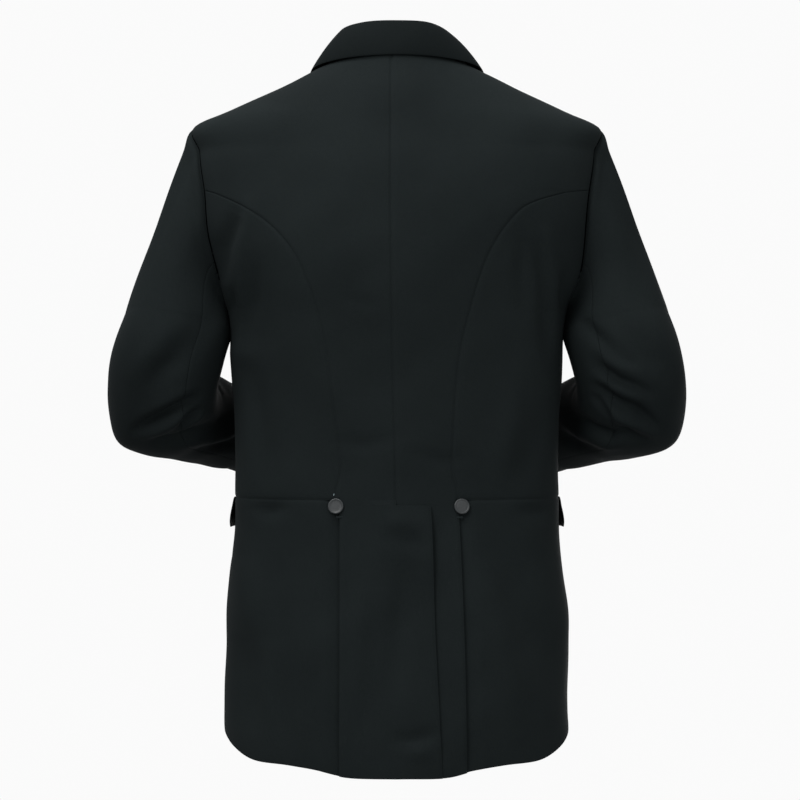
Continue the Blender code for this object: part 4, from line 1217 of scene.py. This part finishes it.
def barTack(start, end, normal):
    # close stitches side by side across a short line
    way, count = end - start, max(4, int(np.linalg.norm(end - start) / sewing["pitch"]))
    across = unit(np.cross(way, normal)) * sewing["holeHalf"]
    return [
        (start + way * t - across, start + way * t + across, normal, sewing["thread"])
        for t in np.linspace(0, 1, count)
    ]


def buttonhole(start, end, normal):
    # two whipped edges with a slit between them and a bar at the inner end
    run = end - start
    across = unit(np.cross(run, normal)) * sewing["holeHalf"]
    gap = across * 0.12
    rows = []
    for t in np.linspace(0, 1, int(np.linalg.norm(run) / sewing["pitch"])):
        spot = start + run * t
        for way in (1, -1):
            rows.append((spot + way * gap, spot + way * across, normal, sewing["thread"]))
    return rows + [(end - across, end + across, normal, sewing["thread"] * 1.4)]


def makeSewing():
    clear = sewing["clear"]
    lap = cloth["lap"] + clear
    for side, name in sides:
        x, half = side * pleatX(levels["waist"] - 0.02, side), side * sewing["pleatTack"]
        level = levels["waist"] - 0.0190
        stretch = onStretch((x - half, level), (x + half, level), clear)
        sewOn("pleat_tack_" + name, barTack(*stretch), threadBlack)
    corner = float(readColumn(pleats, "vent", levels["ventTop"] - 0.003))
    level = levels["ventTop"] - 0.0025
    stretch = onStretch((corner + 0.0015, level), (corner + sewing["tackLong"], level), lap)
    sewOn("vent_tack", barTack(*stretch), threadBlack)
    x, level = sewing["palePlace"]
    stretch = onStretch((x, level), (x + 0.0006, level - sewing["paleLong"]), clear)
    sewOn("waist_stitch", [(*stretch, sewing["paleThread"])], threadPale)
    start, end = sewing["holeStart"], sewing["holeStart"] + sewing["holeLong"]
    for number, level in enumerate(buttons["frontLevels"], 1):
        stretch = onStretch((start, level), (end, level), clear, front=True)
        sewOn(f"buttonhole_{number}", buttonhole(*stretch), threadBlack)
    print("stitches sewn")


makeSewing()


# stage, light and camera
stage = {
    "floorAt": -1.52, "floorRadius": 3.2, "floorSteps": 96, "floorGrey": 0.34, "room": 0.96,
    "lamps": (  # name, place, aim, size and watts
        ("key", (1.5, 2.2, 1.5), (0, 0, -0.3), (1.2, 1.2), 70),
        ("fill", (-1.7, 2.7, -0.6), (0, 0, -0.5), (1.6, 2.0), 27),
        ("front", (-0.7, -2.8, -0.35), (0, 0, -0.4), (1.6, 1.6), 34),
        ("above", (0.45, 0.35, 2.0), (0, 0, -0.2), (1.4, 1.4), 84),
    ),
}
view = {"place": (-0.0035, 3.0, -0.386), "lens": 115.4}


def floorMaterial(name):
    made, _, shader = newMaterial(name)
    shader.inputs["Base Color"].default_value = (*[stage["floorGrey"]] * 3, 1)
    shader.inputs["Roughness"].default_value = 0.85
    return made


def addLight(name, place, aim, size, power):
    lamp = bpy.data.lights.new(name, "AREA")
    lamp.shape = "RECTANGLE"
    lamp.size, lamp.size_y = size
    lamp.energy = power
    made = bpy.data.objects.new(name, lamp)
    bpy.context.scene.collection.objects.link(made)
    made.location = place
    made.rotation_euler = (Vector(aim) - Vector(place)).to_track_quat("-Z", "Y").to_euler()


def makeStage():
    steps, radius = stage["floorSteps"], stage["floorRadius"]
    turns = np.linspace(0, 2 * math.pi, steps, endpoint=False)
    rim = [(radius * math.cos(t), radius * math.sin(t), stage["floorAt"]) for t in turns]
    mesh = bpy.data.meshes.new("floor")
    mesh.from_pydata(rim, [], [tuple(range(steps))])
    mesh.materials.append(floorMaterial("pale_floor"))
    floor = bpy.data.objects.new("floor", mesh)
    bpy.context.scene.collection.objects.link(floor)
    world = bpy.context.scene.world or bpy.data.worlds.new("pale_room")
    bpy.context.scene.world = world
    world.use_nodes = True
    background = world.node_tree.nodes["Background"]
    background.inputs["Color"].default_value = (1.0, 1.0, 1.0, 1)
    background.inputs["Strength"].default_value = stage["room"]
    for lamp in stage["lamps"]:
        addLight(*lamp)
    bpy.context.scene.view_settings.view_transform = "Standard"
    lens = bpy.data.cameras.new("camera")
    lens.lens = view["lens"]
    lens.sensor_width = 36
    camera = bpy.data.objects.new("camera", lens)
    camera.location = view["place"]
    camera.rotation_euler = (math.radians(90), 0, math.radians(180))
    bpy.context.scene.collection.objects.link(camera)
    bpy.context.scene.camera = camera
    print("stage, light and camera set")


makeStage()
